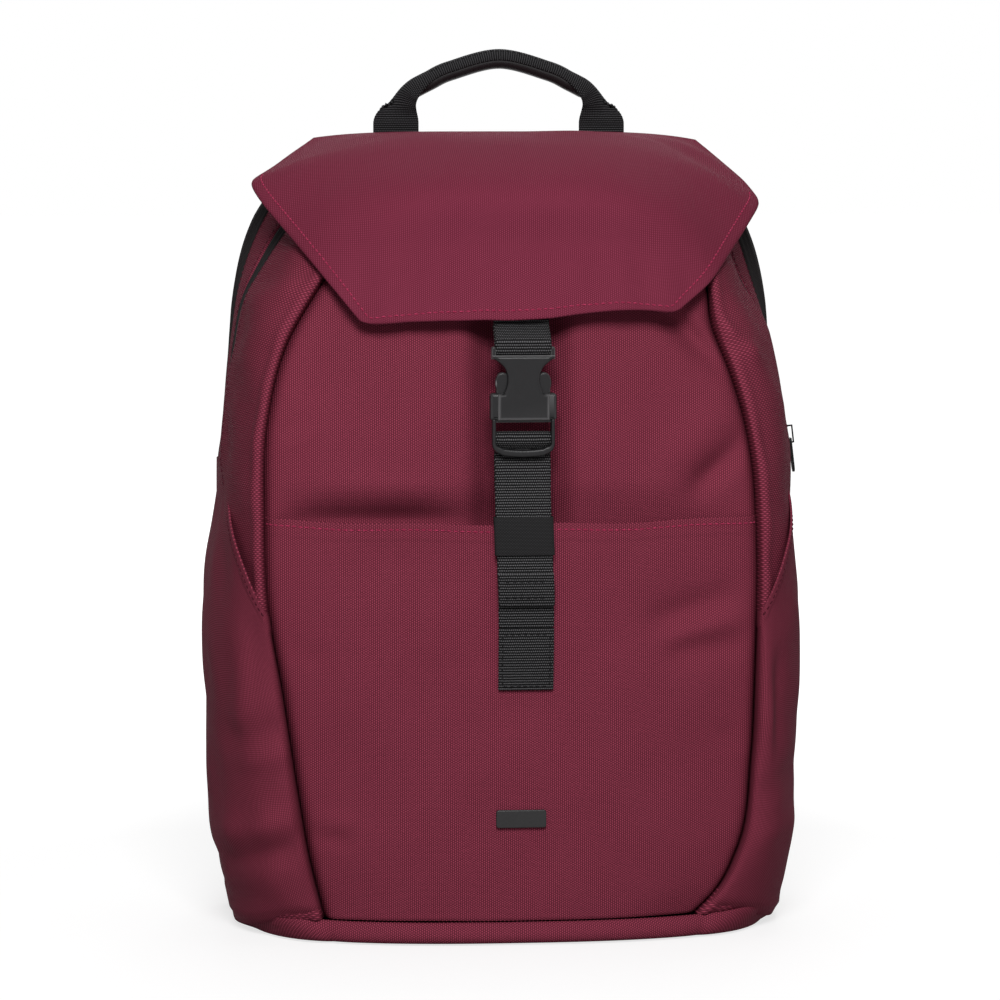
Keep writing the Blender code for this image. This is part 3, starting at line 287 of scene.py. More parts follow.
def shell(name, points, thick, look, flat=None, lip=0.35, inner=None):
    """A closed skin with a rounded edge, from a grid of points on its outer face."""
    rows, columns = points.shape[:2]
    flat = pattern(points) if flat is None else flat
    count = rows * columns
    number = np.arange(count).reshape(rows, columns)
    if inner is None:
        inner = points - facing(points) * np.broadcast_to(thick, (rows, columns))[..., None]
    corners = [number[:-1, :-1], number[:-1, 1:], number[1:, 1:], number[1:, :-1]]
    quads = np.stack(corners, axis=-1).reshape(-1, 4)
    edge = np.concatenate([number[0, :-1], number[:-1, -1], number[-1, :0:-1], number[:0:-1, 0]])
    j, i = edge // columns, edge % columns
    near = np.clip(j, 1, rows - 2) * columns + np.clip(i, 1, columns - 2)
    face, under = points.reshape(-1, 3), inner.reshape(-1, 3)
    across = face[edge] - under[edge]
    out = face[edge] - face[near]
    along = across * np.sum(out * across, 1, keepdims=True) / np.sum(across * across, 1, keepdims=True)
    out = unit(out - along)
    middle = (face[edge] + under[edge]) / 2 + out * np.linalg.norm(across, axis=1, keepdims=True) * lip
    ahead = np.roll(edge, -1)
    ring = 2 * count + np.arange(len(edge))
    ring_ahead = np.roll(ring, -1)
    rim = [np.stack([ahead, edge, ring, ring_ahead], 1)]
    rim.append(np.stack([ring_ahead, ring, edge + count, ahead + count], 1))
    verts = np.concatenate([face, under, middle])
    plan = flat.reshape(-1, 2)
    faces = np.concatenate([quads, quads[:, ::-1] + count, *rim])
    return skin(name, verts, faces, np.concatenate([plan, plan, plan[edge]]), look)


def tube(name, rings, look, flat=None, capped=True):
    """A closed skin through rings of points."""
    rings = np.asarray(rings, float)
    steps, count = rings.shape[:2]
    number = np.arange(steps * count).reshape(steps, count)
    beside = np.roll(number, -1, axis=1)
    quads = np.stack([number[:-1], beside[:-1], beside[1:], number[1:]], axis=-1).reshape(-1, 4).tolist()
    if capped:
        quads += [number[0, ::-1].tolist(), number[-1].tolist()]
    if flat is None:
        flat = ruled(run_of(rings[steps // 2]), run_of(rings[:, 0]))
    return skin(name, rings.reshape(-1, 3), quads, np.reshape(flat, (-1, 2)), look)


def wear(made, body, slot, *nodes):
    """Let a piece ride on its body and hide the solids it stands for. The slot is not used."""
    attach(made, body)
    if nodes:
        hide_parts(*nodes)
    return made


def hinged(made, slot, *nodes):
    """Bake the flap's cloth into place and hide the solids it stands for. The slot is not used."""
    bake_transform(made)
    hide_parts(*nodes)
    return made


def cut(made, points, held, *rests_on):
    """Return the piece unchanged. Its points, hold and the pieces it rests on are not used."""
    return made


def panel(name, node, points, *rests_on, flat=None):
    """A sheet of the bag's own canvas, held stretched between its seams."""
    made = shell(name, points, CANVAS_THICK, CANVAS, flat=flat)
    cut(wear(made, "bag", "canvas", node), points, "stretched", *rests_on)


# %% [markdown]
# ## Folds
# Packed cloth is never a clean formula. Each fold here is a soft valley or ridge along a line seen from
# the front, and a low ripple keeps the rest from looking ironed. A cloth simulation would find folds of
# its own, but these have to lie where the real bag shows them, so they are listed one by one.

# %% Folds and ripples


def fold(x, z, start, end, width, depth):
    """A soft valley (negative depth) or ridge along a line, fading towards its ends."""
    dx, dz = end[0] - start[0], end[1] - start[1]
    long = math.hypot(dx, dz)
    t = ((x - start[0]) * dx + (z - start[1]) * dz) / long**2
    off = ((x - start[0]) * dz - (z - start[1]) * dx) / long
    return depth * hump(off, 0.0, width) * hump(np.abs(t - 0.5), 0.0, 0.48, 4)


def folds(x, z, lines):
    """Several folds added up."""
    return sum(fold(x, z, *line) for line in lines)


def ripple(a, b, size, seed):
    """Gentle uneven waves, about one unit high, the same on every run."""
    total = 0.0
    for k in range(5):
        turn = 2.4 * k + seed
        pace = TAU / size * (1 + 0.37 * k)
        wave = np.sin(pace * (a * math.cos(turn) + b * math.sin(turn)) + 1.7 * k * k + seed)
        total = total + wave / (1 + 0.5 * k)
    return total / 2.2


# %% [markdown]
# ## Finishes
# Cloth reads as cloth through its threads. One node group draws a plain weave from the flat pattern,
# another the ribs of webbing, a third the slow unevenness of dye, a fourth the fine grain of moulded
# plastic and a fifth the holes of padded net. Each puts out heights and masks, and each material places
# them with its own values in front of its own Principled shader. Image textures would be quicker, but
# they would fix the scale and carry no bump of their own.

# %% Node helpers


def srgb(red, green, blue):
    """A colour given as the eye sees it, 0 to 255, turned into linear light."""
    found = []
    for c in (red / 255, green / 255, blue / 255):
        found.append(c / 12.92 if c <= 0.04045 else ((c + 0.055) / 1.055) ** 2.4)
    return (*found, 1.0)


def join(tree, value, socket):
    """Link an output to a socket, or set a number on it."""
    if isinstance(value, bpy.types.NodeSocket):
        tree.links.new(value, socket)
    else:
        socket.default_value = value


def calc(tree, operation, *values):
    """A Math node."""
    node = tree.nodes.new("ShaderNodeMath")
    node.operation = operation
    for value, socket in zip(values, node.inputs):
        join(tree, value, socket)
    return node.outputs[0]


def new_group(name, inputs, outputs):
    """An empty node group with named sockets."""
    tree = bpy.data.node_groups.new(name, "ShaderNodeTree")
    for label, kind, value in inputs:
        socket = tree.interface.new_socket(label, in_out="INPUT", socket_type="NodeSocket" + kind)
        if value is not None:
            socket.default_value = value
    for label in outputs:
        tree.interface.new_socket(label, in_out="OUTPUT", socket_type="NodeSocketFloat")
    return tree, tree.nodes.new("NodeGroupInput").outputs, tree.nodes.new("NodeGroupOutput").inputs


def split(tree, vector):
    """The x, y and z of a vector."""
    node = tree.nodes.new("ShaderNodeSeparateXYZ")
    tree.links.new(vector, node.inputs[0])
    return node.outputs


def noise(tree, vector, scale, detail=2.0, rough=0.5):
    """A noise value from 0 to 1."""
    node = tree.nodes.new("ShaderNodeTexNoise")
    join(tree, vector, node.inputs["Vector"])
    join(tree, scale, node.inputs["Scale"])
    node.inputs["Detail"].default_value = detail
    node.inputs["Roughness"].default_value = rough
    return node.outputs["Fac"]


def ramp(tree, value, stops, ends=(0.0, 1.0), kind="LINEAR"):
    """A value between two stops, stretched from one end to the other."""
    node = tree.nodes.new("ShaderNodeMapRange")
    node.interpolation_type = kind
    for label, given in zip(("Value", "From Min", "From Max", "To Min", "To Max"), (value, *stops, *ends)):
        join(tree, given, node.inputs[label])
    return node.outputs[0]


def beat(tree, value):
    """A hump from 0 to 1 and back over each whole step."""
    return calc(tree, "ABSOLUTE", calc(tree, "SINE", calc(tree, "MULTIPLY", value, math.pi)))


# %% Pattern groups
WEFT_SHADE, WEFT_COUNT, HOLE_SPAN = 0.36, 1.71, (0.40, 0.22)
PLACE = ("Place", "Vector", None)


def make_weave():
    """Plain weave: threads pass over and under each other, with a dark gap where they cross."""
    tree, given, out = new_group(
        "thread_weave", [PLACE, ("Threads", "Float", 1000.0), ("Uneven", "Float", 0.2)], ["Height", "Shade"],
    )
    wander = noise(tree, given["Place"], 60.0, 2.0)
    wander = calc(tree, "MULTIPLY", calc(tree, "SUBTRACT", wander, 0.5), given["Uneven"])
    x, y, _ = split(tree, given["Place"])
    x = calc(tree, "ADD", calc(tree, "MULTIPLY", x, given["Threads"]), wander)
    rows = calc(tree, "MULTIPLY", given["Threads"], WEFT_COUNT)
    y = calc(tree, "ADD", calc(tree, "MULTIPLY", y, rows), wander)
    over = []
    for a, b, lag in ((x, y, 0.0), (y, x, 1.0)):
        step = calc(tree, "ADD", calc(tree, "ADD", b, calc(tree, "FLOOR", a)), lag)
        swing = calc(tree, "SINE", calc(tree, "MULTIPLY", step, math.pi))
        wave = calc(tree, "MULTIPLY_ADD", swing, 0.26, 0.74)
        over.append(calc(tree, "MULTIPLY", calc(tree, "POWER", beat(tree, a), 0.6), wave))
    height = calc(tree, "MAXIMUM", *over)
    fibre = noise(tree, given["Place"], 2600.0, 1.0)
    tree.links.new(calc(tree, "MULTIPLY_ADD", fibre, 0.12, height), out["Height"])
    shade = calc(tree, "MAXIMUM", over[0], calc(tree, "MULTIPLY", over[1], WEFT_SHADE))
    tree.links.new(calc(tree, "POWER", shade, 2.2), out["Shade"])
    return tree


def make_ribs():
    """Webbing: raised ribs across the band, each a row of small thread bumps."""
    tree, given, out = new_group(
        "web_ribs", [PLACE, ("Ribs", "Float", 460.0), ("Picks", "Float", 900.0)], ["Height", "Shade"],
    )
    x, y, _ = split(tree, given["Place"])
    wander = calc(tree, "MULTIPLY", noise(tree, given["Place"], 300.0), 0.25)
    along = calc(tree, "ADD", calc(tree, "MULTIPLY", y, given["Ribs"]), wander)
    across = calc(tree, "MULTIPLY", x, given["Picks"])
    row = calc(tree, "FLOOR", along)
    shift = calc(tree, "MULTIPLY", calc(tree, "MODULO", row, 2.0), 0.5)
    dot = calc(tree, "MULTIPLY_ADD", beat(tree, calc(tree, "ADD", across, shift)), 0.35, 0.65)
    height = calc(tree, "MULTIPLY", calc(tree, "POWER", beat(tree, along), 0.7), dot)
    tree.links.new(height, out["Height"])
    tree.links.new(calc(tree, "POWER", height, 5.0), out["Shade"])
    return tree


def make_mottle():
    """Slow unevenness of dye and handling."""
    tree, given, out = new_group("soft_mottle", [PLACE, ("Size", "Float", 30.0)], ["Value"])
    broad = calc(tree, "MULTIPLY", noise(tree, given["Place"], given["Size"], 3.0, 0.6), 0.65)
    small = noise(tree, given["Place"], calc(tree, "MULTIPLY", given["Size"], 9.0), 2.0)
    tree.links.new(calc(tree, "MULTIPLY_ADD", small, 0.35, broad), out["Value"])
    return tree


def make_grain():
    """Fine spark-eroded grain of a moulding."""
    tree, given, out = new_group("moulded_grain", [PLACE, ("Size", "Float", 1500.0)], ["Height"])
    fine = noise(tree, given["Place"], given["Size"], 2.0, 0.7)
    coarse = noise(tree, given["Place"], calc(tree, "MULTIPLY", given["Size"], 0.2), 1.0)
    tree.links.new(calc(tree, "MULTIPLY_ADD", coarse, 0.4, fine), out["Height"])
    return tree


def make_net():
    """Knitted net over foam: staggered round holes."""
    tree, given, out = new_group("spacer_net", [PLACE, ("Holes", "Float", 320.0)], ["Height", "Hole"])
    x, y, _ = split(tree, given["Place"])
    row = calc(tree, "MULTIPLY", y, given["Holes"])
    lag = calc(tree, "MULTIPLY", calc(tree, "MODULO", calc(tree, "FLOOR", row), 2.0), 0.5)
    column = calc(tree, "ADD", calc(tree, "MULTIPLY", x, given["Holes"]), lag)
    a, b = (calc(tree, "SUBTRACT", calc(tree, "FRACT", value), 0.5) for value in (column, row))
    far = calc(tree, "SQRT", calc(tree, "ADD", calc(tree, "MULTIPLY", a, a), calc(tree, "MULTIPLY", b, b)))
    hole = ramp(tree, far, HOLE_SPAN, kind="SMOOTHSTEP")
    yarn = noise(tree, given["Place"], 2200.0)
    tree.links.new(calc(tree, "SUBTRACT", calc(tree, "MULTIPLY", yarn, 0.3), hole), out["Height"])
    tree.links.new(hole, out["Hole"])
    return tree


GROUPS = {
    "weave": make_weave(),
    "ribs": make_ribs(),
    "mottle": make_mottle(),
    "grain": make_grain(),
    "net": make_net(),
}
print("node groups:", ", ".join(g.name for g in GROUPS.values()))

# %% [markdown]
# ## Materials
# Every material mixes a deep and a bright colour by its pattern's mask, shifts that a little with the
# mottle, and bends its normal by the pattern's height. Roughness follows the mask too, because the
# crown of a thread shines more than the gap beside it. Woven cloth is also painted darker where it is
# seen edge on, as painted shade, and moulded plastic gets a painted highlight along its sharp edges.

# %% Material maker
# Random tone shares, the share of painted shade on cloth seen edge on, and the grey and pointiness span of
# the painted highlight on sharp edges.
WORN_SHARES, GRAZING_SHADE_SHARE, EDGE_HIGHLIGHT_GREY, HIGHLIGHT_EDGE_SPAN = (0.55, 0.85), 0.55, srgb(150, 148, 150), (0.52, 0.60)


def place_group(tree, kind, vector, **values):
    """Put a node group into a material with its own values."""
    node = tree.nodes.new("ShaderNodeGroup")
    node.node_tree = GROUPS[kind]
    tree.links.new(vector, node.inputs["Place"])
    for label, value in values.items():
        node.inputs[label].default_value = value
    return node.outputs


def blend_colour(tree, fac, a, b):
    """A colour mix."""
    node = tree.nodes.new("ShaderNodeMix")
    node.data_type = "RGBA"
    join(tree, fac, node.inputs["Factor"])
    join(tree, a, node.inputs[6])
    join(tree, b, node.inputs[7])
    return node.outputs[2]


def span(tree, value, low, high):
    """A value from 0 to 1 stretched to a range."""
    return calc(tree, "MULTIPLY_ADD", value, high - low, low)


def material(name, deep, bright, kind, values, bump, rough, mottle=30.0,
             flat=True, metallic=0.0, gloss=0.08, drift=0.25, edge_highlight=0.0):
    """A procedural material: pattern, colour, roughness and bump."""
    made = bpy.data.materials.new(name)
    made.use_nodes = True
    tree = made.node_tree
    shade = tree.nodes["Principled BSDF"]
    where = tree.nodes.new("ShaderNodeTexCoord").outputs["UV" if flat else "Object"]
    found = place_group(tree, kind, where, **values)
    slow = place_group(tree, "mottle", where, Size=mottle)["Value"]
    mask = found["Shade"] if "Shade" in found else found["Height"]
    if kind == "net":
        mask = calc(tree, "SUBTRACT", 1.0, found["Hole"])
    tone = blend_colour(tree, mask, deep, bright)
    worn = [tuple(share * c for c in bright[:3]) + (1.0,) for share in WORN_SHARES]
    uneven = blend_colour(tree, slow, *worn)
    colour = blend_colour(tree, drift, tone, uneven)
    # Painted shade: woven cloth turns towards its deep colour where it is seen edge on.
    if kind == "weave":
        grazing_shade = tree.nodes.new("ShaderNodeLayerWeight").outputs["Facing"]
        colour = blend_colour(tree, calc(tree, "MULTIPLY", grazing_shade, GRAZING_SHADE_SHARE), colour, deep)
    # Painted highlight: sharp edges, found by their pointiness, turn towards a light grey.
    if edge_highlight:
        edge = ramp(tree, tree.nodes.new("ShaderNodeNewGeometry").outputs["Pointiness"], HIGHLIGHT_EDGE_SPAN)
        colour = blend_colour(tree, calc(tree, "MULTIPLY", edge, edge_highlight), colour, EDGE_HIGHLIGHT_GREY)
    tree.links.new(colour, shade.inputs["Base Color"])
    dull = calc(tree, "MULTIPLY_ADD", slow, 0.5, calc(tree, "MULTIPLY", mask, 0.5))
    tree.links.new(span(tree, dull, rough[1], rough[0]), shade.inputs["Roughness"])
    bend = tree.nodes.new("ShaderNodeBump")
    bend.inputs["Strength"].default_value = bump[0]
    bend.inputs["Distance"].default_value = bump[1]
    tree.links.new(found["Height"], bend.inputs["Height"])
    tree.links.new(bend.outputs["Normal"], shade.inputs["Normal"])
    shade.inputs["Metallic"].default_value = metallic
    shade.inputs["Specular IOR Level"].default_value = gloss
    return made


# %% Materials of this bag
RIBS_A_METRE = 745.0
WINE_DEEP, WINE, BLACK_DEEP, BLACK = srgb(42, 3, 13), srgb(195, 84, 110), srgb(3, 3, 4), srgb(120, 119, 121)
CANVAS = material("wine_canvas", WINE_DEEP, WINE, "weave", dict(Threads=970.0, Uneven=0.4),
                  (0.75, 0.00045), (0.72, 0.9), 14.0)
FINE = material("wine_fine_canvas", srgb(82, 18, 35), srgb(170, 72, 99),
                "weave", dict(Threads=1000.0, Uneven=0.4), (0.5, 0.0003), (0.74, 0.9), 18.0)
LINING = material("wine_lining", srgb(76, 26, 39), srgb(126, 52, 71),
                  "weave", dict(Threads=1300.0, Uneven=0.3), (0.4, 0.0002), (0.6, 0.8), 30.0)
TAPE = material("zip_tape", srgb(20, 19, 20), srgb(62, 58, 59),
                "weave", dict(Threads=1500.0, Uneven=0.3), (0.6, 0.0003), (0.6, 0.85), 60.0)
WEBBING = material("black_webbing", BLACK_DEEP, BLACK, "ribs", dict(Ribs=RIBS_A_METRE, Picks=900.0),
                   (0.9, 0.0006), (0.6, 0.85), 60.0, drift=0.03)
FINE_WEB = material("black_fine_webbing", BLACK_DEEP, BLACK, "ribs", dict(Ribs=RIBS_A_METRE, Picks=1000.0),
                    (0.9, 0.0005), (0.6, 0.85), 60.0, drift=0.03)
GRIP_WEB = material("black_grip_webbing", BLACK_DEEP, srgb(84, 83, 85),
                    "ribs", dict(Ribs=870.0, Picks=1100.0), (0.6, 0.0003), (0.6, 0.85), 60.0, drift=0.05)
ELASTIC = material("black_elastic", srgb(20, 20, 21), srgb(66, 65, 66),
                   "ribs", dict(Ribs=1500.0, Picks=700.0), (0.45, 0.0003), (0.65, 0.85), 60.0)
THREAD = ("ribs", dict(Ribs=1600.0, Picks=500.0), (0.5, 0.0002), (0.5, 0.7), 90.0)
PINK_THREAD = material("wine_thread", srgb(140, 34, 64), srgb(224, 80, 122), *THREAD)
DARK_THREAD = material("dark_wine_thread", srgb(64, 14, 28), srgb(110, 42, 60), *THREAD)
BLACK_THREAD = material("black_thread", srgb(10, 10, 11), srgb(40, 39, 40), *THREAD)
# The plastic's sharp edges carry a painted highlight.
PLASTIC = material("moulded_black", srgb(10, 10, 11), srgb(30, 29, 31), "grain", dict(Size=1500.0),
                   (0.16, 0.0002), (0.30, 0.40), 90.0, flat=False, gloss=0.24, edge_highlight=0.5)
RUBBER = material("soft_black_rubber", srgb(20, 19, 20), srgb(38, 37, 38), "grain", dict(Size=900.0),
                  (0.2, 0.0003), (0.3, 0.45), 90.0, flat=False, gloss=0.3)
STEEL = material("black_plated_zinc", srgb(14, 14, 15), srgb(34, 34, 35), "grain", dict(Size=700.0),
                 (0.1, 0.0002), (0.35, 0.5), 90.0, flat=False, metallic=0.4)
NET = material("black_spacer_net", srgb(8, 8, 9), srgb(58, 57, 60), "net", dict(Holes=330.0),
               (0.8, 0.0008), (0.75, 0.92), 40.0)
FOAM = material("grey_foam", srgb(40, 40, 42), srgb(74, 74, 78), "grain", dict(Size=600.0),
                (0.4, 0.0004), (0.85, 0.95), 40.0, flat=False)
print("materials:", len([m for m in bpy.data.materials if m.use_nodes]))

# %% [markdown]
# ## Stitching
# A topstitch is a row of short thread humps, each sunk at both ends where the needle went through. A
# dashed texture would be flat, so every stitch is a small spindle of its own, all in one mesh.

# %% Stitch maker
# A stitch's pitch, length and thickness.
TOPSTITCH = (0.0032, 0.0024, 0.00040)
# Along a stitch: the share of its length, of its thickness and of its lift.
STITCH_SHAPE = ((0.0, 0.15, -0.6), (0.16, 0.85, 0.1), (0.5, 1.0, 0.45), (0.84, 0.85, 0.1), (1.0, 0.15, -0.6))
STITCH_SIDES, STITCH_SLANT, STITCH_STRAY, STITCH_FLAT, LOOK_AHEAD = 6, 0.00010, 0.00012, 0.8, 0.0004


def even(points, step):
    """Points at an even distance along a line."""
    run = run_of(points)
    place = np.linspace(0, run[-1], max(int(round(run[-1] / step)), 2) + 1)
    return np.stack([np.interp(place, run, points[:, k]) for k in range(3)], axis=1)


def reading(line, run, at):
    """The spot or direction at a distance along a line."""
    return np.array([np.interp(at, run, line[:, c]) for c in range(3)])


def stitches(name, lines, look, pitch, long, thick):
    """Rows of stitches along lines, each given as (points, outward directions)."""
    verts, faces = [], []
    sides, stops = STITCH_SIDES, len(STITCH_SHAPE)
    for points, outward in lines:
        run = run_of(points)
        for k in range(int(run[-1] / pitch)):
            start = (k + 0.5) * pitch - long / 2 + STITCH_STRAY * math.sin(7.1 * k)
            for share, round_, lift in STITCH_SHAPE:
                at = start + share * long
                spot, up = reading(points, run, at), unit(reading(outward, run, at))
                after, before = (reading(points, run, at + step) for step in (LOOK_AHEAD, -LOOK_AHEAD))
                side = unit(np.cross(unit(after - before), up))
                for s in range(sides):
                    turn = TAU * s / sides
                    reach = thick * round_ * (side * math.cos(turn) + up * (STITCH_FLAT * math.sin(turn)))
                    verts.append(spot + up * (thick * lift) + reach + side * (STITCH_SLANT * (share - 0.5)))
            first = len(verts) - sides * stops
            for r in range(stops - 1):
                for s in range(sides):
                    a = first + r * sides + s
                    b = first + r * sides + (s + 1) % sides
                    faces.append((a, b, b + sides, a + sides))
            faces.append(tuple(first + s for s in reversed(range(sides))))
            faces.append(tuple(first + (stops - 1) * sides + s for s in range(sides)))
    return skin(name, verts, faces, np.array(verts)[:, [0, 2]], look)


def along_grid(points, u, v):
    """Points and outward directions along a line in a grid's own shares; one share may be fixed."""
    rows, columns = points.shape[:2]
    out = facing(points)
    u, v = np.broadcast_arrays(np.asarray(u, float), np.asarray(v, float))
    a, b = u * (columns - 1), v * (rows - 1)
    i, j = np.clip(a.astype(int), 0, columns - 2), np.clip(b.astype(int), 0, rows - 2)
    s, t = (a - i)[:, None], (b - j)[:, None]

    def read(values):
        low = mix(values[j, i], values[j, i + 1], s)
        return mix(low, mix(values[j + 1, i], values[j + 1, i + 1], s), t)

    return read(points), unit(read(out))


def sew(name, points, lines, look, body="bag", slot="canvas", size=TOPSTITCH):
    """Stitch along lines given in a grid's own shares."""
    wear(stitches(name, [along_grid(points, u, v) for u, v in lines], look, *size), body, slot)


# %% [markdown]
# ## Camera, floor and light
# The photograph was taken from a long way off, a touch to the left and a little above the middle of
# the bag. The light is a broad soft front light from above with a pale surround, so the front is even
# and the sides fall off. The floor is white to the camera and still keeps the shadow under the bag.

# %% Camera
PHOTO_SIZE = 1000
METRES_PER_PIXEL = 0.00052
CAMERA_AIM = Vector((0.0015, 0.05, 0.2117))
CAMERA_FAR, CAMERA_AZIMUTH, CAMERA_ELEVATION = 2.4, math.radians(-5.5), math.radians(5.0)


def look_along(made, way):
    """Turn a camera or a lamp to a direction."""
    made.rotation_mode = "QUATERNION"
    made.rotation_quaternion = way.to_track_quat("-Z", "Y")


back = Vector((
    math.sin(CAMERA_AZIMUTH) * math.cos(CAMERA_ELEVATION),
    -math.cos(CAMERA_AZIMUTH) * math.cos(CAMERA_ELEVATION),
    math.sin(CAMERA_ELEVATION),
))
lens = bpy.data.cameras.new("photo_camera")
camera = put("photo_camera", lens)
lens.sensor_width = 36.0
lens.lens = lens.sensor_width * CAMERA_FAR / (PHOTO_SIZE * METRES_PER_PIXEL)
camera.location = CAMERA_AIM + back * CAMERA_FAR
look_along(camera, -back)
bpy.context.scene.camera = camera
bpy.context.scene.view_settings.view_transform = "Standard"
print("focal length %.1f mm" % lens.lens)

# %% Floor, surround and lamps
AMBIENT, FLOOR_GLOW, FLOOR_FADE = 0.09, 0.72, (0.35, 0.8)
FLOOR_TONE, FLOOR_HALF, FLOOR_DROP = 0.40, 14.0, 0.0006


def seen_mask(tree):
    """1 for rays that the camera, a reflection or a glass sends."""
    path = tree.nodes.new("ShaderNodeLightPath").outputs
    both = calc(tree, "MAXIMUM", path["Is Camera Ray"], path["Is Glossy Ray"])
    return calc(tree, "MAXIMUM", both, path["Is Transmission Ray"])


def make_surround():
    """A pale even surround that looks white."""
    world = bpy.data.worlds.new("studio")
    bpy.context.scene.world = world
    world.use_nodes = True
    tree = world.node_tree
    light = tree.nodes["Background"]
    light.inputs["Strength"].default_value = AMBIENT
    light.inputs["Color"].default_value = (1, 1, 1, 1)
    white = tree.nodes.new("ShaderNodeBackground")
    white.inputs["Color"].default_value = (1, 1, 1, 1)
    pick = tree.nodes.new("ShaderNodeMixShader")
    tree.links.new(seen_mask(tree), pick.inputs[0])
    tree.links.new(light.outputs[0], pick.inputs[1])
    tree.links.new(white.outputs[0], pick.inputs[2])
    tree.links.new(pick.outputs[0], tree.nodes["World Output"].inputs["Surface"])


def make_floor():
    """A white floor whose own light shows only to the camera and in reflections, so the shadow stays."""
    look = bpy.data.materials.new("white_floor")
    look.use_nodes = True
    tree = look.node_tree
    shade = tree.nodes["Principled BSDF"]
    shade.inputs["Base Color"].default_value = (FLOOR_TONE, FLOOR_TONE, FLOOR_TONE, 1.0)
    shade.inputs["Roughness"].default_value = 0.9
    shade.inputs["Specular IOR Level"].default_value = 0.0
    glow = tree.nodes.new("ShaderNodeEmission")
    far = tree.nodes.new("ShaderNodeVectorMath")
    far.operation = "LENGTH"
    tree.links.new(tree.nodes.new("ShaderNodeTexCoord").outputs["Object"], far.inputs[0])
    fade = ramp(tree, far.outputs["Value"], FLOOR_FADE, (FLOOR_GLOW, 1.0))
    tree.links.new(calc(tree, "MULTIPLY", seen_mask(tree), fade), glow.inputs["Strength"])
    both = tree.nodes.new("ShaderNodeAddShader")
    tree.links.new(shade.outputs[0], both.inputs[0])
    tree.links.new(glow.outputs[0], both.inputs[1])
    tree.links.new(both.outputs[0], tree.nodes["Material Output"].inputs["Surface"])
    data = bpy.data.meshes.new("floor")
    corners = [(a * FLOOR_HALF, b * FLOOR_HALF, 0) for a, b in ((-1, -1), (1, -1), (1, 1), (-1, 1))]
    data.from_pydata(corners, [], [(0, 1, 2, 3)])
    data.materials.append(look)
    floor = put("floor", data)
    floor.location.z = -FLOOR_DROP


def lamp(name, place, aim, size, power):
    """A square soft lamp."""
    data = bpy.data.lights.new(name, "AREA")
    data.size, data.energy = size, power
    made = put(name, data)
    made.location = place
    look_along(made, Vector(aim) - Vector(place))


make_surround()
make_floor()
lamp("front_light", (-0.20, -2.7, 2.05), (0, 0, 0.2), 1.1, 78.0)
lamp("top_light", (0.1, 0.3, 2.1), (0, 0, 0.3), 1.2, 8.0)
lamp("back_light", (0.3, 2.2, 1.3), (0, 0, 0.25), 1.4, 14.0)
print("lamps:", ", ".join(light.name for light in bpy.data.lights))

# %% [markdown]
# ## Front panel and slip pocket
# The front is one cloth, pressed in where the taut strap crosses it. The slip pocket lies over its lower
# half and is open along its hemmed top edge. Both end in the front seam, where the cloth turns inwards.

# %% Front panel
SEAM_SINK, SEAM_SHARP, ROLL_BACK, CROWDING = 0.0075, 64, 0.024, 0.85
PRESS, PRESS_HALF, PRESS_LOW_Z, PRESS_HIGH_Z = 0.0150, 0.0215, 0.19, 0.335
ROOM, ROOM_MORE, ROOM_WIDE, ROOM_OVER, ROOM_FADE, GAPE_X = 0.0042, 0.0018, 0.022, 0.020, 0.022, -0.055


def edge_turn(share, sink=SEAM_SINK):
    """How far cloth turns in beside a seam, from the share of the way to it."""
    return sink * np.clip(share, 0.0, 1.0) ** SEAM_SHARP


def crowded(u):
    """Shares from 0 to 1 that crowd towards both ends, where the cloth turns sharply."""
    return mix(u, 0.5 - 0.5 * np.cos(math.pi * u), CROWDING)


def front_surface(u, z):
    """Points between the two front seams, before any fold."""
    x = mix(-seam_half(z, -1), seam_half(z, 1), u)
    return x, front_y(x, z) + edge_turn(np.abs(2 * u - 1))


FRONT_FOLDS = (
    ((0.074, 0.314), (0.112, 0.280), 0.0065, -0.0075),
    ((0.086, 0.318), (0.118, 0.286), 0.0060, 0.0036),
    ((0.086, 0.226), (0.120, 0.256), 0.0070, -0.0062),
    ((0.070, 0.238), (0.118, 0.272), 0.0110, 0.0028),
    ((-0.128, 0.243), (-0.100, 0.256), 0.0034, 0.0011),
    ((-0.128, 0.252), (-0.104, 0.264), 0.0034, -0.0010),
    ((-0.124, 0.2126), (-0.028, 0.2126), 0.0072, -0.0050),
    ((-0.100, 0.2300), (-0.040, 0.2290), 0.0070, 0.0012),
    ((-0.098, 0.316), (-0.060, 0.300), 0.0100, -0.0012),
)


def front_panel():
    """The cloth behind and above the slip pocket, rolled back to the gusset along its top."""
    u, v = spread(170, 210)
    u = crowded(u)
    z = mix(SEAM_Z + 0.001, FRONT_TOP - 0.0008, v)
    x, y = front_surface(u, z)
    off = np.abs(2 * u - 1)
    press = PRESS * hump(x, 0.0, PRESS_HALF, 4)
    press = press * ease((PRESS_HIGH_Z - z) / 0.03) * ease((z - PRESS_LOW_Z) / 0.02)
    behind = ease((POCKET_TOP_Z + ROOM_OVER - z) / ROOM_FADE)
    room = (ROOM + ROOM_MORE * hump(x, GAPE_X, ROOM_WIDE)) * behind * (1 - off**5)
    calm = 1 - off**8
    y = y + press + room + GAP - calm * (folds(x, z, FRONT_FOLDS) + 0.0006 * ripple(x, z, 0.07, 1.0))
    y = y + SEAM_DEPTH * (1 - off**2.5) * ease((z - FRONT_TOP + ROLL_BACK) / ROLL_BACK) ** 2
    panel("front_panel_cloth", "front_panel", grid(x, y, z), "front_pocket_cloth", flat=seen(x, z))


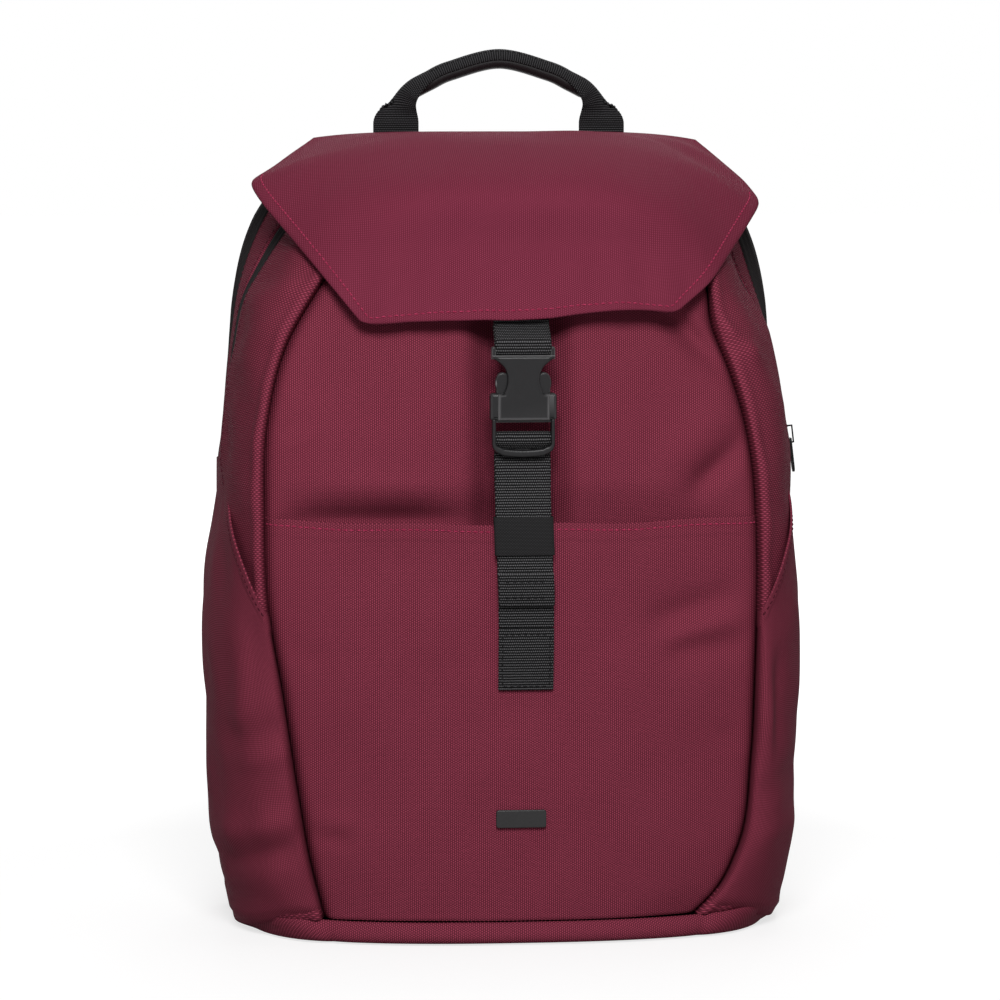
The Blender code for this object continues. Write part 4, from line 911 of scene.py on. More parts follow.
# %% Slip pocket
POCKET_FOLDS = (
    ((0.064, 0.160), (0.112, 0.176), 0.0085, -0.0034),
    ((0.072, 0.146), (0.116, 0.150), 0.0080, -0.0028),
    ((0.070, 0.153), (0.118, 0.163), 0.0070, 0.0020),
    ((0.100, 0.108), (0.119, 0.094), 0.0060, -0.0013),
    ((-0.110, 0.055), (-0.084, 0.052), 0.0045, -0.0014),
    ((-0.112, 0.063), (-0.080, 0.061), 0.0050, 0.0010),
    ((-0.122, 0.150), (-0.096, 0.142), 0.0070, -0.0010),
)
HEM, HEM_RISE, POCKET_STITCH, STILL_HALF, STILL_LOW_Z = 0.0085, 0.0002, 0.9650, 0.026, 0.118
GAPE, GAPE_WIDE, GAPE_LOW_Z, GAPE_TALL = 0.0020, 0.024, 0.19, 0.022
TOP_SAG, TOP_CURVE, TOP_HALF, TOP_WAVE, TOP_PACE = 0.0018, 0.0022, 0.12, 0.0005, 90


def pocket_top(x):
    """The pocket's top edge hangs a little in the middle."""
    curve = TOP_CURVE * np.clip(np.abs(x) / TOP_HALF, 0, 1.1) ** 2
    return POCKET_TOP_Z - TOP_SAG + curve + TOP_WAVE * np.sin(x * TOP_PACE)


def slip_pocket():
    """The lower front cloth with its hemmed edge and topstitch."""
    u, v = spread(170, 150)
    u = crowded(u)
    x = mix(-seam_half(KNEE_Z, -1), seam_half(KNEE_Z, 1), u)
    z = mix(SEAM_Z + 0.0008, pocket_top(x), 1 - (1 - v) ** 1.25)
    x, y = front_surface(u, z)
    calm = 1 - np.abs(2 * u - 1) ** 8
    rest = 1 - hump(x, 0.0, STILL_HALF, 4) * ease((z - STILL_LOW_Z) / 0.012)
    hem = HEM_RISE * ease((z - pocket_top(x) + HEM) / 0.0006)
    wave = folds(x, z, POCKET_FOLDS) + 0.0007 * ripple(x, z, 0.085, 2.0)
    gape = GAPE * hump(x, GAPE_X, GAPE_WIDE) * ease((z - GAPE_LOW_Z) / GAPE_TALL)
    points = grid(x, y - 2 * GAP - calm * rest * wave - hem - gape, z)
    panel("front_pocket_cloth", "front_pocket_panel", points, "front_panel_cloth", flat=seen(x, z))
    sew("pocket_topstitch", points, [(np.linspace(0.012, 0.988, 320), POCKET_STITCH)], PINK_THREAD)


slip_pocket()
front_panel()

# %% [markdown]
# ## Gussets and zips
# One band of cloth rolls from the front seam back to the main zip. Along the seam its allowance is
# turned under, which leaves a raised welt beside a dark crevice. Behind it come the main zip, a second
# band, the laptop zip and a last narrow band. A loft of outline to outline makes each of them.

# %% Front gusset
WELT, WELT_FAR, WELT_WIDE, CREVICE, CREVICE_WIDE = 0.0014, 0.0048, 0.0034, 0.0085, 0.0013
HOOD, HOOD_LOW_Z, HOOD_HIGH_Z, GUSSET_STITCH = 0.0014, 0.226, 0.298, 0.945
GUSSET_FOLDS = (
    ((0.100, 0.308), (0.122, 0.290), 0.0040, 0.0030),
    ((0.096, 0.296), (0.116, 0.300), 0.0035, -0.0022),
    ((-0.136, 0.318), (-0.106, 0.330), 0.0060, 0.0016),
)


def front_gusset():
    """The arched band with a welt along the front seam."""
    w, v = spread(300, 46)
    w = 2 * w - 1
    t = v**1.6
    front, rear = arch("front", w), arch("zip", w)
    low_y = crown_y(front[1]) + SEAM_DEPTH
    x, y, z = roll(front, rear, low_y, MAIN_ZIP_Y - GAP, t)
    points = grid(x, y, z)
    out = facing(points)
    far = np.cumsum(np.linalg.norm(np.diff(points, axis=0, prepend=points[:1]), axis=2), axis=0)
    sides = ease((np.abs(w) - 0.18) / 0.08)
    welt = WELT * hump(far, WELT_FAR, WELT_WIDE) * mix(0.3, 1.0, sides)
    welt = welt - CREVICE * hump(far, 0.0, CREVICE_WIDE) * mix(0.1, 1.0, sides)
    hood = HOOD * ease((t - 0.7) / 0.25) * ease((HOOD_HIGH_Z - z) / 0.02)
    welt = welt + hood * ease((z - HOOD_LOW_Z) / 0.01) * (x < 0)
    calm = ease(far / 0.008) * ease((1 - t) / 0.15)
    wave = folds(x, z, GUSSET_FOLDS) + 0.0012 * ripple(far, z + 0.4 * x, 0.06, 4.0)
    points = points + out * (welt + calm * wave)[..., None]
    panel("front_gusset_cloth", "front_gusset", points, "front_panel_cloth", "main_zip_tape")
    sew("gusset_topstitch", points, [(np.linspace(0.215, 0.785, 420), GUSSET_STITCH)], DARK_THREAD)


front_gusset()

# %% Bands and zips
COIL_HALF, COIL_RISE, SLIT_HALF, SLIT_DEPTH = 0.0016, 0.0007, 0.00035, 0.0009
TAPE_UNDER, TAPE_SINK, TAPE_THICK, LAPTOP_PROUD = 0.0012, 0.0016, 0.0008, 0.0016
MID_SWELL, BACK_DRAWN_IN = 0.0011, (0.0012, 0.0026)
# Where each band's front edge lies between the zip outline (0) and the back outline (1), left and right.
MAIN_LEAN, MID_LEAN, LAPTOP_LEAN = (0.0, 0.0), (0.28, 0.17), (0.70, 0.60)
BACK_LEAN, END_LEAN = (1.0, 1.0), (0.78, 0.84)


def between(lean, w):
    """Points (x, z) on an outline between the zip's and the back's."""
    share = mix(*lean, ease((w + 0.1) / 0.2))
    low, high = arch("zip", w, ZIP_END_Z), arch("back", w, ZIP_END_Z)
    return mix(low[0], high[0], share), mix(low[1], high[1], share)


def band_points(front_lean, back_lean, low_y, high_y, columns, rows, swell=0.0):
    """A band between two outlines, from where the zips end over the top."""
    u, v = spread(columns, rows)
    a, b = between(front_lean, 2 * u - 1), between(back_lean, 2 * u - 1)
    points = grid(mix(a[0], b[0], v), mix(low_y, high_y, v), mix(a[1], b[1], v))
    return points + facing(points) * (swell * np.sin(math.pi * v))[..., None]


def zip_band(word, front_lean, back_lean, low_y, proud=0.0):
    """Two tapes that meet over a covered coil: a ribbed ridge with a slit along its middle."""
    points = band_points(front_lean, back_lean, low_y - TAPE_UNDER, low_y + ZIP_WIDTH + TAPE_UNDER, 420, 29)
    across = np.linspace(-1, 1, 29)[:, None] * (ZIP_WIDTH / 2 + TAPE_UNDER)
    ridge = COIL_RISE * hump(across, 0.0, COIL_HALF, 4) - SLIT_DEPTH * hump(across, 0.0, SLIT_HALF)
    ridge = ridge - TAPE_SINK * ease((np.abs(across) - ZIP_WIDTH / 2 + TAPE_UNDER) / 0.0016)
    shown = ease((points[..., 2] - ZIP_SHOWN_Z) / 0.03) * ease((ZIP_HIDDEN_Z - points[..., 2]) / 0.02)
    tucked = 1 - ease((across - ZIP_WIDTH / 2 + TAPE_UNDER) / 0.0016)
    ridge = ridge + proud * ease((across + 0.002) / 0.004) * shown * tucked
    points = points + facing(points) * ridge[..., None]
    made = shell(word + "_zip_tape", points, TAPE_THICK, TAPE)
    cut(wear(made, "bag", "tape", word + "_zip"), points, "stretched", "front_gusset_cloth")


def gusset_band(word, front_lean, back_lean, low_y, high_y, stitched):
    """A narrow band of cloth beside a zip."""
    swell = MID_SWELL if word == "mid" else 0.0
    points = band_points(front_lean, back_lean, low_y, high_y, 300, 16, swell)
    if word == "back":
        drawn = BACK_DRAWN_IN[0] + BACK_DRAWN_IN[1] * np.linspace(0, 1, 16)
        points[..., 0] -= np.sign(points[..., 0]) * drawn[:, None]
    panel(word + "_gusset_cloth", word + "_gusset", points, "laptop_zip_tape")
    lines = [(np.linspace(0.0, 1.0, 500), edge) for edge in stitched]
    sew(word + "_gusset_cloth_topstitch", points, lines, DARK_THREAD)


zip_band("main", MAIN_LEAN, MID_LEAN, MAIN_ZIP_Y)
zip_band("laptop", LAPTOP_LEAN, BACK_LEAN, LAPTOP_ZIP_Y, proud=LAPTOP_PROUD)
gusset_band("mid", MID_LEAN, LAPTOP_LEAN, MID_Y, LAPTOP_ZIP_Y - GAP, (0.07, 0.93))
gusset_band("back", BACK_LEAN, END_LEAN, BACK_GUSSET_Y, BACK_Y - GAP, (0.93,))

# %% [markdown]
# ## Sides and bottle pockets
# Behind the front gusset the sides are plain cloth. A pocket is sewn over each, with a slanted hemmed edge
# that starts low at the front seam and rises to the back. At the front its cloth stands a little off the
# side, and further back it lies close. A plain offset of the side would lose that, so the pocket has its
# own loft from the front seam round to the back.

# %% Side panels and bottle pockets
BOTTLE_FOLDS = {
    -1: (
        ((-0.150, 0.036), (-0.110, 0.050), 0.0080, -0.0042),
        ((-0.148, 0.052), (-0.112, 0.064), 0.0070, 0.0022),
        ((-0.146, 0.100), (-0.116, 0.112), 0.0075, -0.0022),
        ((-0.140, 0.090), (-0.112, 0.098), 0.0060, 0.0014),
        ((-0.138, 0.175), (-0.137, 0.108), 0.0050, 0.0018),
    ),
    1: (
        ((0.124, 0.150), (0.126, 0.090), 0.0040, 0.0022),
        ((0.132, 0.145), (0.131, 0.095), 0.0040, -0.0020),
        ((0.118, 0.070), (0.146, 0.086), 0.0070, -0.0014),
        ((0.118, 0.050), (0.146, 0.056), 0.0070, 0.0012),
    ),
}
SIDE_SWELL, BOTTLE_BEND, BOTTLE_HEM, BOTTLE_STITCH = 0.0012, 0.6, 0.0005, 0.955
BOTTLE_CLOSE, BOTTLE_FOOT_Z, BOTTLE_TAPER, SEAM_NICK = 0.25, 0.0030, 0.075, 0.0060
STAND_OFF, STAND_CLOSE, STAND_TALL, FOOT_TUCK, MOUTH_FLARE = 0.0016, -0.0022, 0.05, 0.0030, 0.0008


def side_panel(side, word):
    """The cloth wall behind a bottle pocket."""
    u, v = spread(30, 60)
    z = mix(SEAM_Z + 0.0005, ZIP_END_Z - GAP, v)
    y = mix(MAIN_ZIP_Y, BACK_Y - GAP, u if side > 0 else 1 - u)
    x = side * (body_half(z) + SIDE_SWELL * np.sin(math.pi * u) * np.sin(math.pi * v))
    panel(word + "_side_cloth", word + "_side_panel", grid(x, y, z), "base_cloth")


def bottle_pocket(side, word):
    """A side pocket with a slanted hemmed mouth."""
    u, v = spread(110, 100)
    t = u if side > 0 else 1 - u
    angle = np.where(t < BOTTLE_BEND, t / BOTTLE_BEND, 1.0)
    turn = math.pi / 2 * angle
    rise = np.sin(math.pi / 2 * np.clip(t / BOTTLE_BEND, 0, 1)) ** 1.3
    top = mix(BOTTLE_LOW_Z, BOTTLE_HIGH_Z, 0.8 * rise + 0.2 * t)
    closed = ease((t - BOTTLE_CLOSE) / BOTTLE_CLOSE)
    low = mix(SEAM_Z + 0.0008, BOTTLE_FOOT_Z, ease((t - 0.08) / 0.4))
    z = mix(low, top, 1 - (1 - v) ** 1.2)
    full = np.sin(math.pi * np.clip(t, 0, 1)) ** 0.45
    taper = mix(1.0, mix(0.12, 0.0, closed), ease((z - top + BOTTLE_TAPER) / BOTTLE_TAPER))
    stand = mix(STAND_OFF, STAND_CLOSE, closed * ease((z - top + STAND_TALL) / STAND_TALL)) + GAP
    out = BOTTLE_ROOM[side] * full * taper * ease((z - SEAM_Z) / 0.035) + stand
    out = out * np.clip(t / 0.05, 0, 1) ** 0.7 - SEAM_NICK * hump(t, 0.0, 0.012)
    out = out - FOOT_TUCK * (1 - ease((z - low) / 0.006))
    rolled = roll((seam_half(z, side), z), (zip_half(z), z), crown_y(z) + SEAM_DEPTH, MAIN_ZIP_Y, angle)
    flat_y = mix(MAIN_ZIP_Y, BACK_Y - GAP, np.clip((t - BOTTLE_BEND) / (1 - BOTTLE_BEND), 0, 1))
    x = np.where(t < BOTTLE_BEND, rolled[0], body_half(z))
    y = np.where(t < BOTTLE_BEND, rolled[1], flat_y)
    mouth = ease((z - top + 0.030) / 0.03) * MOUTH_FLARE * np.sin(math.pi * np.clip(t / 0.5, 0, 1))
    x, y = side * (x + np.sin(turn) * (out + mouth)), y - np.cos(turn) * (out + mouth)
    points = grid(x, y, z)
    calm = ease(t / 0.05) * ease((1 - t) / 0.12) * ease((top - z) / 0.02) * ease((z - SEAM_Z) / 0.012)
    wave = folds(x, z, BOTTLE_FOLDS[side]) + 0.0010 * ripple(y + side * x, z, 0.075, 3.0 + side)
    hem = BOTTLE_HEM * ease((z - top + 0.008) / 0.0006) * (1 - closed)
    points = points + facing(points) * (calm * wave + hem)[..., None]
    panel(word + "_bottle_cloth", word + "_bottle_pocket", points, word + "_side_cloth")
    share = np.linspace(0.03, 0.40, 120) if side > 0 else np.linspace(0.60, 0.97, 120)
    sew(word + "_bottle_topstitch", points, [(share, BOTTLE_STITCH)], DARK_THREAD)


for side, word in SIDES:
    side_panel(side, word)
    bottle_pocket(side, word)

# %% [markdown]
# ## Base
# A shallow tray of the same cloth closes the bottom. Its upper edge is the base seam, and its underside
# is flat where the bag stands. Rings of the bag's own footprint, drawn in step by step, make the round.

# %% Base tray
BACK_CORNER, BASE_FRONT_HALF, BASE_ROUND = 0.012, 0.094, 0.030
CORNER_LIFT, CORNER_X, CORNER_WIDE, CORNER_Y = 0.0016, 0.118, 0.016, -0.02
CORNER_TUCK, TUCK_X, TUCK_Y = 0.0065, 0.080, 0.012
# From the seam down and in under the bag: how far in, and how high.
BASE_SECTION = (
    (0.0035, 0.0095), (0.0010, 0.0105), (0.0, 0.0114), (-0.0004, 0.0100), (-0.0014, 0.0078),
    (-0.0020, 0.0052), (-0.0018, 0.0028), (-0.0006, 0.0011), (0.0016, 0.0003), (0.006, 0.0),
    (0.030, 0.0), (0.060, 0.0),
)


def footprint(count):
    """The bag's outline at the base seam, from the front middle round by the right side."""
    halves = []
    for side in (1, -1):
        low, wide = max(float(seam_half(SEAM_Z, side)), BASE_FRONT_HALF), float(body_half(SEAM_Z))
        x = np.linspace(0, low, count)
        line = [np.stack([x, float(crown_y(SEAM_Z)) + SEAM_DEPTH * (x / low) ** 2.7], 1)]
        t = np.linspace(0, 1, count)[1:]
        rolled = roll((low, 0.0), (wide, 0.0), float(crown_y(SEAM_Z)) + SEAM_DEPTH, MAIN_ZIP_Y, t)
        line.append(np.stack([rolled[0], rolled[1]], 1))
        turn = np.linspace(0, math.pi / 2, 12)
        y = REAR_Y - BACK_CORNER
        line.append(np.stack([np.full(6, wide), np.linspace(MAIN_ZIP_Y + 0.01, y - 0.004, 6)], 1))
        line.append(np.stack([wide - BACK_CORNER * (1 - np.cos(turn)), y + BACK_CORNER * np.sin(turn)], 1))
        line.append(np.stack([np.linspace(wide - BACK_CORNER - 0.01, 0, 12), np.full(12, REAR_Y)], 1))
        half = np.concatenate(line)
        half[:, 0] *= side
        halves.append(half)
    return np.concatenate([halves[0], halves[1][-2:0:-1]])


def base_tray():
    """The cloth tray and its seam. The rings start at the back, where the pattern's ends may meet."""
    rim = footprint(40)
    rim = np.roll(rim, len(rim) // 2, axis=0)
    middle = np.array([0.0, (REAR_Y + FRONT_Y) / 2])
    reach = np.abs(rim - middle).max(0)
    lift = CORNER_LIFT * hump(np.abs(rim[:, 0]), CORNER_X, CORNER_WIDE) * (rim[:, 1] < CORNER_Y)
    rings = []
    front = ease((-BASE_ROUND - rim[:, 1]) / BASE_ROUND)
    corner = ease((TUCK_Y - rim[:, 1]) / 0.03) * ease((np.abs(rim[:, 0]) - TUCK_X) / 0.035)
    for inset, z in BASE_SECTION:
        drawn_in = mix(max(inset, 0.0008), inset, front)
        ring = middle + (rim - middle) * (1 - drawn_in[:, None] / reach)
        ring[:, 0] -= np.sign(ring[:, 0]) * corner * CORNER_TUCK * ease((0.0112 - z) / 0.0110)
        rings.append(np.column_stack([ring, z + lift * ease(z / 0.01)]))
    made = tube("base_cloth", rings[::-1], CANVAS)
    wear(made, "bag", "canvas", "base_panel")
    print("base tray: %.0f mm round its seam" % (1000 * run_of(np.vstack([rim, rim[:1]]))[-1]))


base_tray()

# %% [markdown]
# ## Flap
# The lid is two plies, sewn together along the edge and turned, with a topstitch a few millimetres in
# from the edge. It lies over the top, juts out to a blunt point on each side and hangs in front, where
# its right corner has curled up a little. At the back it is sewn down, and the cloth next to that seam
# bends between bag and lid. Turning the whole lid about a line would tear it from the seam.

# %% Flap
FLAP_AXIS_Y, FLAP_AXIS_Z = BACK_Y - 0.0025, BODY_TOP + 0.0025
FLAP_LOW_Z, FLAP_OFF, FLAP_LIFT = 0.312, 0.0085, 0.0112
FLAP_BACK_HALF, FLAP_TIP_HALF, FLAP_FRONT_HALF = 0.100, 0.1325, 0.0775
FLAP_TIP, FLAP_TIP_Y, FLAP_SWEEP, FLAP_BOW, FLAP_SHIFT = 0.30, 0.015, 0.006, 0.016, 0.006
LEFT_TIP_Z, RIGHT_TIP_Z, LEFT_BACK_DROP, RIGHT_BACK_DROP = 0.378, 0.368, 0.0032, 0.0044
FLAP_END_Z, FLAP_CURL, FLAP_BEND, FLAP_BLUNT = 0.3093, 0.0055, 0.026, 0.0060
FLAP_PLY, FLAP_EDGE, FLAP_REACH, FLAP_CORNER = 0.0011, 0.0045, 0.19, 0.0050
CURL_FROM, CURL_SPAN, CURL_AHEAD = 0.72, 0.28, 0.0015
PUCKER, PUCKER_PITCH, FLAP_RIPPLE = 0.00045, 0.023, 0.0007
FLAP_FOLDS = (
    ((0.070, 0.10), (0.122, 0.34), 0.012, -0.0010),
    ((0.085, 0.06), (0.128, 0.25), 0.010, 0.0007),
)


def bend(knots, count):
    """Evenly counted points on a smooth curve through knots."""
    k = np.array(knots, float)
    k = np.concatenate([2 * k[:1] - k[1:2], k, 2 * k[-1:] - k[-2:-1]])
    place = np.linspace(0, len(knots) - 1, count)
    i = np.clip(place.astype(int), 0, len(knots) - 2)
    t = (place - i)[:, None]
    a, b, c, d = k[i], k[i + 1], k[i + 2], k[i + 3]
    return 0.5 * (2 * b + (c - a) * t + (2 * a - 5 * b + 4 * c - d) * t**2 + (3 * b - a - 3 * c + d) * t**3)


def flap_half(s):
    """Half width of the flap from its hinge (0) to its front edge (1), with blunted corners."""
    grow = mix(FLAP_BACK_HALF, FLAP_TIP_HALF, s / FLAP_TIP)
    shrink = mix(FLAP_TIP_HALF, FLAP_FRONT_HALF, (s - FLAP_TIP) / (1 - FLAP_TIP))
    half = 0.5 * (grow + shrink - np.sqrt((grow - shrink) ** 2 + FLAP_BLUNT**2))
    low = np.clip(FLAP_CORNER - (1 - s) * FLAP_REACH, 0, FLAP_CORNER)
    return half - FLAP_CORNER + np.sqrt(FLAP_CORNER**2 - low**2)


def flap_points(trim):
    """The flap's outer face, trimmed all round."""
    u, v = spread(150, 140)
    s = 1 - v * (1 - trim) - trim * 0.5
    knots = [
        (FLAP_AXIS_Y - 0.001, FLAP_AXIS_Z + 0.0002),
        (FLAP_AXIS_Y - 0.038, FLAP_AXIS_Z - 0.0002),
        (mix(MAIN_ZIP_Y, FRONT_Y, 0.20), BODY_TOP - 0.0040),
    ]
    for share, rise in ((0.72, 0.72), (0.42, 0.40)):
        z = mix(FLAP_LOW_Z, BODY_TOP, share)
        knots.append((float(crown_y(z)) - FLAP_OFF, mix(FLAP_LOW_Z, BODY_TOP, rise)))
    knots.append((float(crown_y(FLAP_LOW_Z)) - FLAP_LIFT, FLAP_LOW_Z))
    spine = bend(knots, 400)
    y, z = (np.interp(s, np.linspace(0, 1, 400), spine[:, k]) for k in (0, 1))
    place = 2 * u - 1
    x = place * (flap_half(s) - trim * 0.09)
    rise = np.clip(s / FLAP_TIP, 0, 1)
    past = np.clip((s - FLAP_TIP) / (1 - FLAP_TIP), 0, 1)
    tip_z = np.where(place < 0, LEFT_TIP_Z, RIGHT_TIP_Z)
    back_z = spine[0, 1] - np.where(place < 0, LEFT_BACK_DROP, RIGHT_BACK_DROP)
    edge_y = mix(mix(spine[0, 0], FLAP_TIP_Y, rise), spine[-1, 0] + FLAP_SWEEP, past)
    edge_y = edge_y - 4 * FLAP_BOW * past * (1 - past)
    edge_z = mix(mix(back_z, tip_z, rise), FLAP_END_Z, past)
    share = np.abs(place) ** mix(mix(4.5, 3.0, ease(rise)), 2.4, past)
    y, z = mix(y, edge_y, share), mix(z, edge_z, share)
    curl = ease((x + 0.002) / 0.06) * ease((s - CURL_FROM) / CURL_SPAN)
    z, y = z + FLAP_CURL * curl, y - CURL_AHEAD * curl
    points = grid(x + FLAP_SHIFT * ease((0.45 - s) / 0.45), y, z)
    soft = PUCKER * np.sin(x * TAU / PUCKER_PITCH + 0.6) * ease((s - 0.62) / 0.3)
    soft = soft + FLAP_RIPPLE * ripple(x, s * FLAP_REACH, 0.09, 6.0) * ease((1 - s) / 0.1) * ease(s / 0.2)
    for line in FLAP_FOLDS:
        soft = soft + fold(x, s, *line)
    return points + facing(points) * soft[..., None], np.stack([x, -s * FLAP_REACH], axis=-1)


def flap():
    """Outer ply, lining and topstitch."""
    points, plan = flap_points(0.0)
    made = shell("flap_cloth", points, FLAP_PLY, FINE, flat=plan, lip=0.5)
    cut(hinged(made, "canvas", "flap_panel"), points, "draped", "front_gusset_cloth")
    inner, inner_plan = flap_points(0.004)
    inner = inner - facing(inner) * (FLAP_PLY + 0.00012)
    made = shell("flap_lining_cloth", inner, FLAP_PLY, LINING, flat=inner_plan, lip=0.5)
    cut(hinged(made, "lining", "flap_lining"), inner, "draped", "flap_cloth")
    low = FLAP_EDGE / FLAP_REACH
    v = np.linspace(1 - FLAP_TIP + 0.02, low + 0.012, 160)
    inset = FLAP_EDGE / (2 * flap_half(1 - v))
    start, end = inset[-1] + 0.008, 1 - inset[-1] - 0.008
    u = np.concatenate([inset, np.linspace(start, end, 260), 1 - inset[::-1]])
    v = np.concatenate([v, np.full(260, low), v[::-1]])
    sew("flap_topstitch", points, [(u, v)], PINK_THREAD, "flap")


flap()

# %% [markdown]
# ## Webbing
# The closing strap is ribbed webbing. It is sewn flat to the pocket, runs up behind the plug's bar,
# turns round it, comes down in front and ends in a folded, stitched tail held by a loop of elastic. The
# ribs are real ridges, spaced by one value that also feeds the finish.

# %% Webbing maker
WEB, WEB_THICK, RIB, RIB_RISE = 0.0268, 0.0014, 1 / RIBS_A_METRE, 0.00028
STRAP_LEAN, LEAN_FROM_Z, LEAN_SPAN = 0.0019, 0.235, 0.075
TAIL_STITCH, ANCHOR_STITCH = (0.0034, 0.0024, 0.00042), (0.0032, 0.0022, 0.00038)
STRAP_Y, MOUTH_Z, STRAP_AXIS_Z = -0.0830, 0.2628, 0.160
REST_Y, TAIL_LOW_Z, KEEPER_LOW_Z, KEEPER_TALL, ANCHOR_LOW_Z = -0.0816, 0.172, 0.196, 0.0190, 0.129
BAR_RADIUS, BAR_DROP, PLUG_TALL = 0.0016, 0.0090, 0.0182
WRAP_RADIUS = BAR_RADIUS + GAP + WEB_THICK / 2


def smooth_line(points, step, passes):
    """A line resampled evenly and eased round its corners."""
    line = even(np.asarray(points, float), step)
    for _ in range(passes):
        line[1:-1] = 0.25 * line[:-2] + 0.5 * line[1:-1] + 0.25 * line[2:]
    return even(line, step)


def ribs(run):
    """Rounded ridges along a band, from -0.5 to 0.5."""
    return np.abs(np.sin(math.pi * run / RIB)) ** 0.7 - 0.5


def webbing(name, path, width, look, across=(1, 0, 0), lean=None, thick=WEB_THICK, rise=RIB_RISE, passes=6):
    """A ribbed band along a middle line."""
    line = smooth_line(path, RIB / 4, passes)
    run = run_of(line)
    share = np.linspace(-1, 1, 19)
    side = np.asarray(across, float)
    points = line[:, None, :] + share[None, :, None] * side * width / 2
    if lean is not None:
        points[..., 0] += lean(points[..., 2])
    edge = 1 - 0.35 * np.abs(share) ** 10
    half = facing(points) * (thick / 2 * edge[None, :] + (rise * ribs(run))[:, None])[..., None]
    plan = ruled(share * width / 2, run)
    return shell(name, points + half, thick, look, flat=plan, inner=points - half), points + half


def turn_round(y, z, radius, start, end, count):
    """Points on an arc seen from the side, angles in degrees from +Y towards +Z."""
    angle = np.radians(np.linspace(start, end, count))
    return np.stack([np.zeros(count), y + radius * np.cos(angle), z + radius * np.sin(angle)], 1)


def side_path(*spots):
    """A path in the middle plane from (y, z) spots and arcs."""
    found = [np.reshape((0.0, *spot), (1, 3)) if np.ndim(spot) == 1 else spot for spot in spots]
    return np.concatenate(found)


def strap_lean(z):
    """The lower strap hangs a little to the right."""
    return STRAP_LEAN * ease((LEAN_FROM_Z - z) / LEAN_SPAN)


# %% Closing strap, keeper and anchor
# Up the keeper's edge: the share of its height, and its size there.
KEEPER_SECTION = (
    (0.04, 0.90), (0.0, 0.955), (0.012, 0.985), (0.04, 1.0), (0.5, 1.006), (0.96, 1.0), (0.988, 0.985),
    (1.0, 0.955), (0.96, 0.90),
)


def closing_strap():
    """The strap from its fold line up round the bar and down to the folded tail."""
    bar_z, low_z = MOUTH_Z - BAR_DROP, MOUTH_Z - PLUG_TALL
    back_y = STRAP_Y + WRAP_RADIUS - 0.0003
    behind_y = STRAP_Y + 0.0020
    tail_y = REST_Y - WEB_THICK - GAP
    keeper_top = KEEPER_LOW_Z + KEEPER_TALL
    bow = 0.5 * (WEB_THICK + GAP)
    end_y = tail_y - 1.5 * WEB_THICK - GAP
    path = side_path(
        (REST_Y, STRAP_AXIS_Z + GAP), (REST_Y, TAIL_LOW_Z), (REST_Y, keeper_top + 0.004),
        (behind_y + 2 * WEB_THICK, low_z), (back_y + 0.001, bar_z - 0.003),
        turn_round(STRAP_Y, bar_z, WRAP_RADIUS, 0, 215, 15),
        (behind_y, low_z + 0.0040), (behind_y, low_z + 0.001), (tail_y, low_z - 0.006), (tail_y, TAIL_LOW_Z),
        turn_round(tail_y - bow, TAIL_LOW_Z, bow, -20, -180, 6),
        (end_y, TAIL_LOW_Z + 0.004), (end_y, KEEPER_LOW_Z - 0.009),
    )
    made, points = webbing("closing_strap_web", path, WEB, WEBBING, lean=strap_lean)
    wear(made, "strap", "webbing", "closing_strap")
    cut(made, points, "folded", "strap_anchor_web")
    face = tail_y - 2.0 * WEB_THICK - GAP - 0.0004
    x = np.linspace(-WEB / 2 + 0.002, WEB / 2 - 0.002, 20) + STRAP_LEAN
    outward = np.tile((0.0, -1.0, 0.0), (20, 1))
    lines = [(grid(x, face, z), outward) for z in (KEEPER_LOW_Z - 0.0125, TAIL_LOW_Z + 0.0035)]
    wear(stitches("strap_tail_stitch", lines, BLACK_THREAD, *TAIL_STITCH), "strap", "webbing")


def strap_keeper():
    """A loop of smooth elastic round both layers."""
    tail_y = REST_Y - WEB_THICK - GAP
    low_y, high_y = tail_y - WEB_THICK / 2 - GAP - 0.0010, REST_Y + WEB_THICK / 2 + GAP + 0.0010
    half, deep = WEB / 2 + 0.0013, (high_y - low_y) / 2
    mid_y = (low_y + high_y) / 2
    c, d = oval(96, 0.16, 0.45)
    ring = np.stack([half * c, mid_y + deep * d], 1)
    middle = np.array([0, mid_y])
    rings = []
    for share, grow in KEEPER_SECTION:
        z = KEEPER_LOW_Z + share * KEEPER_TALL
        loop = middle + (ring - middle) * (1 - (1 - grow) * np.array([0.12, 1.0]))
        rings.append(grid(loop[:, 0] + strap_lean(z), loop[:, 1], z))
    rings.append(rings[0].copy())
    made = tube("strap_keeper_elastic", rings, ELASTIC, capped=False)
    wear(made, "strap", "webbing", "strap_keeper")


def strap_anchor():
    """The sewn-down end, stitched round its edge and across."""
    share = np.linspace(0, 1, 9)
    z = mix(ANCHOR_LOW_Z, STRAP_AXIS_Z - GAP / 2, share)
    y = mix(crown_y(z) - 2 * GAP - WEB_THICK / 2 - 0.0009, REST_Y, ease(share))
    made, points = webbing("strap_anchor_web", grid(0.0, y, z), WEB, FINE_WEB, lean=strap_lean, passes=2)
    cut(wear(made, "bag", "webbing", "strap_anchor"), points, "laid", "front_pocket_cloth")
    lines = [(np.linspace(0.06, 0.94, 40), v) for v in (0.055, 0.90)]
    lines += [(u, mix(0.06, 0.90, np.linspace(0, 1, 40))) for u in (0.06, 0.94)]
    sew("strap_anchor_stitch", points, lines, BLACK_THREAD, slot="webbing", size=ANCHOR_STITCH)


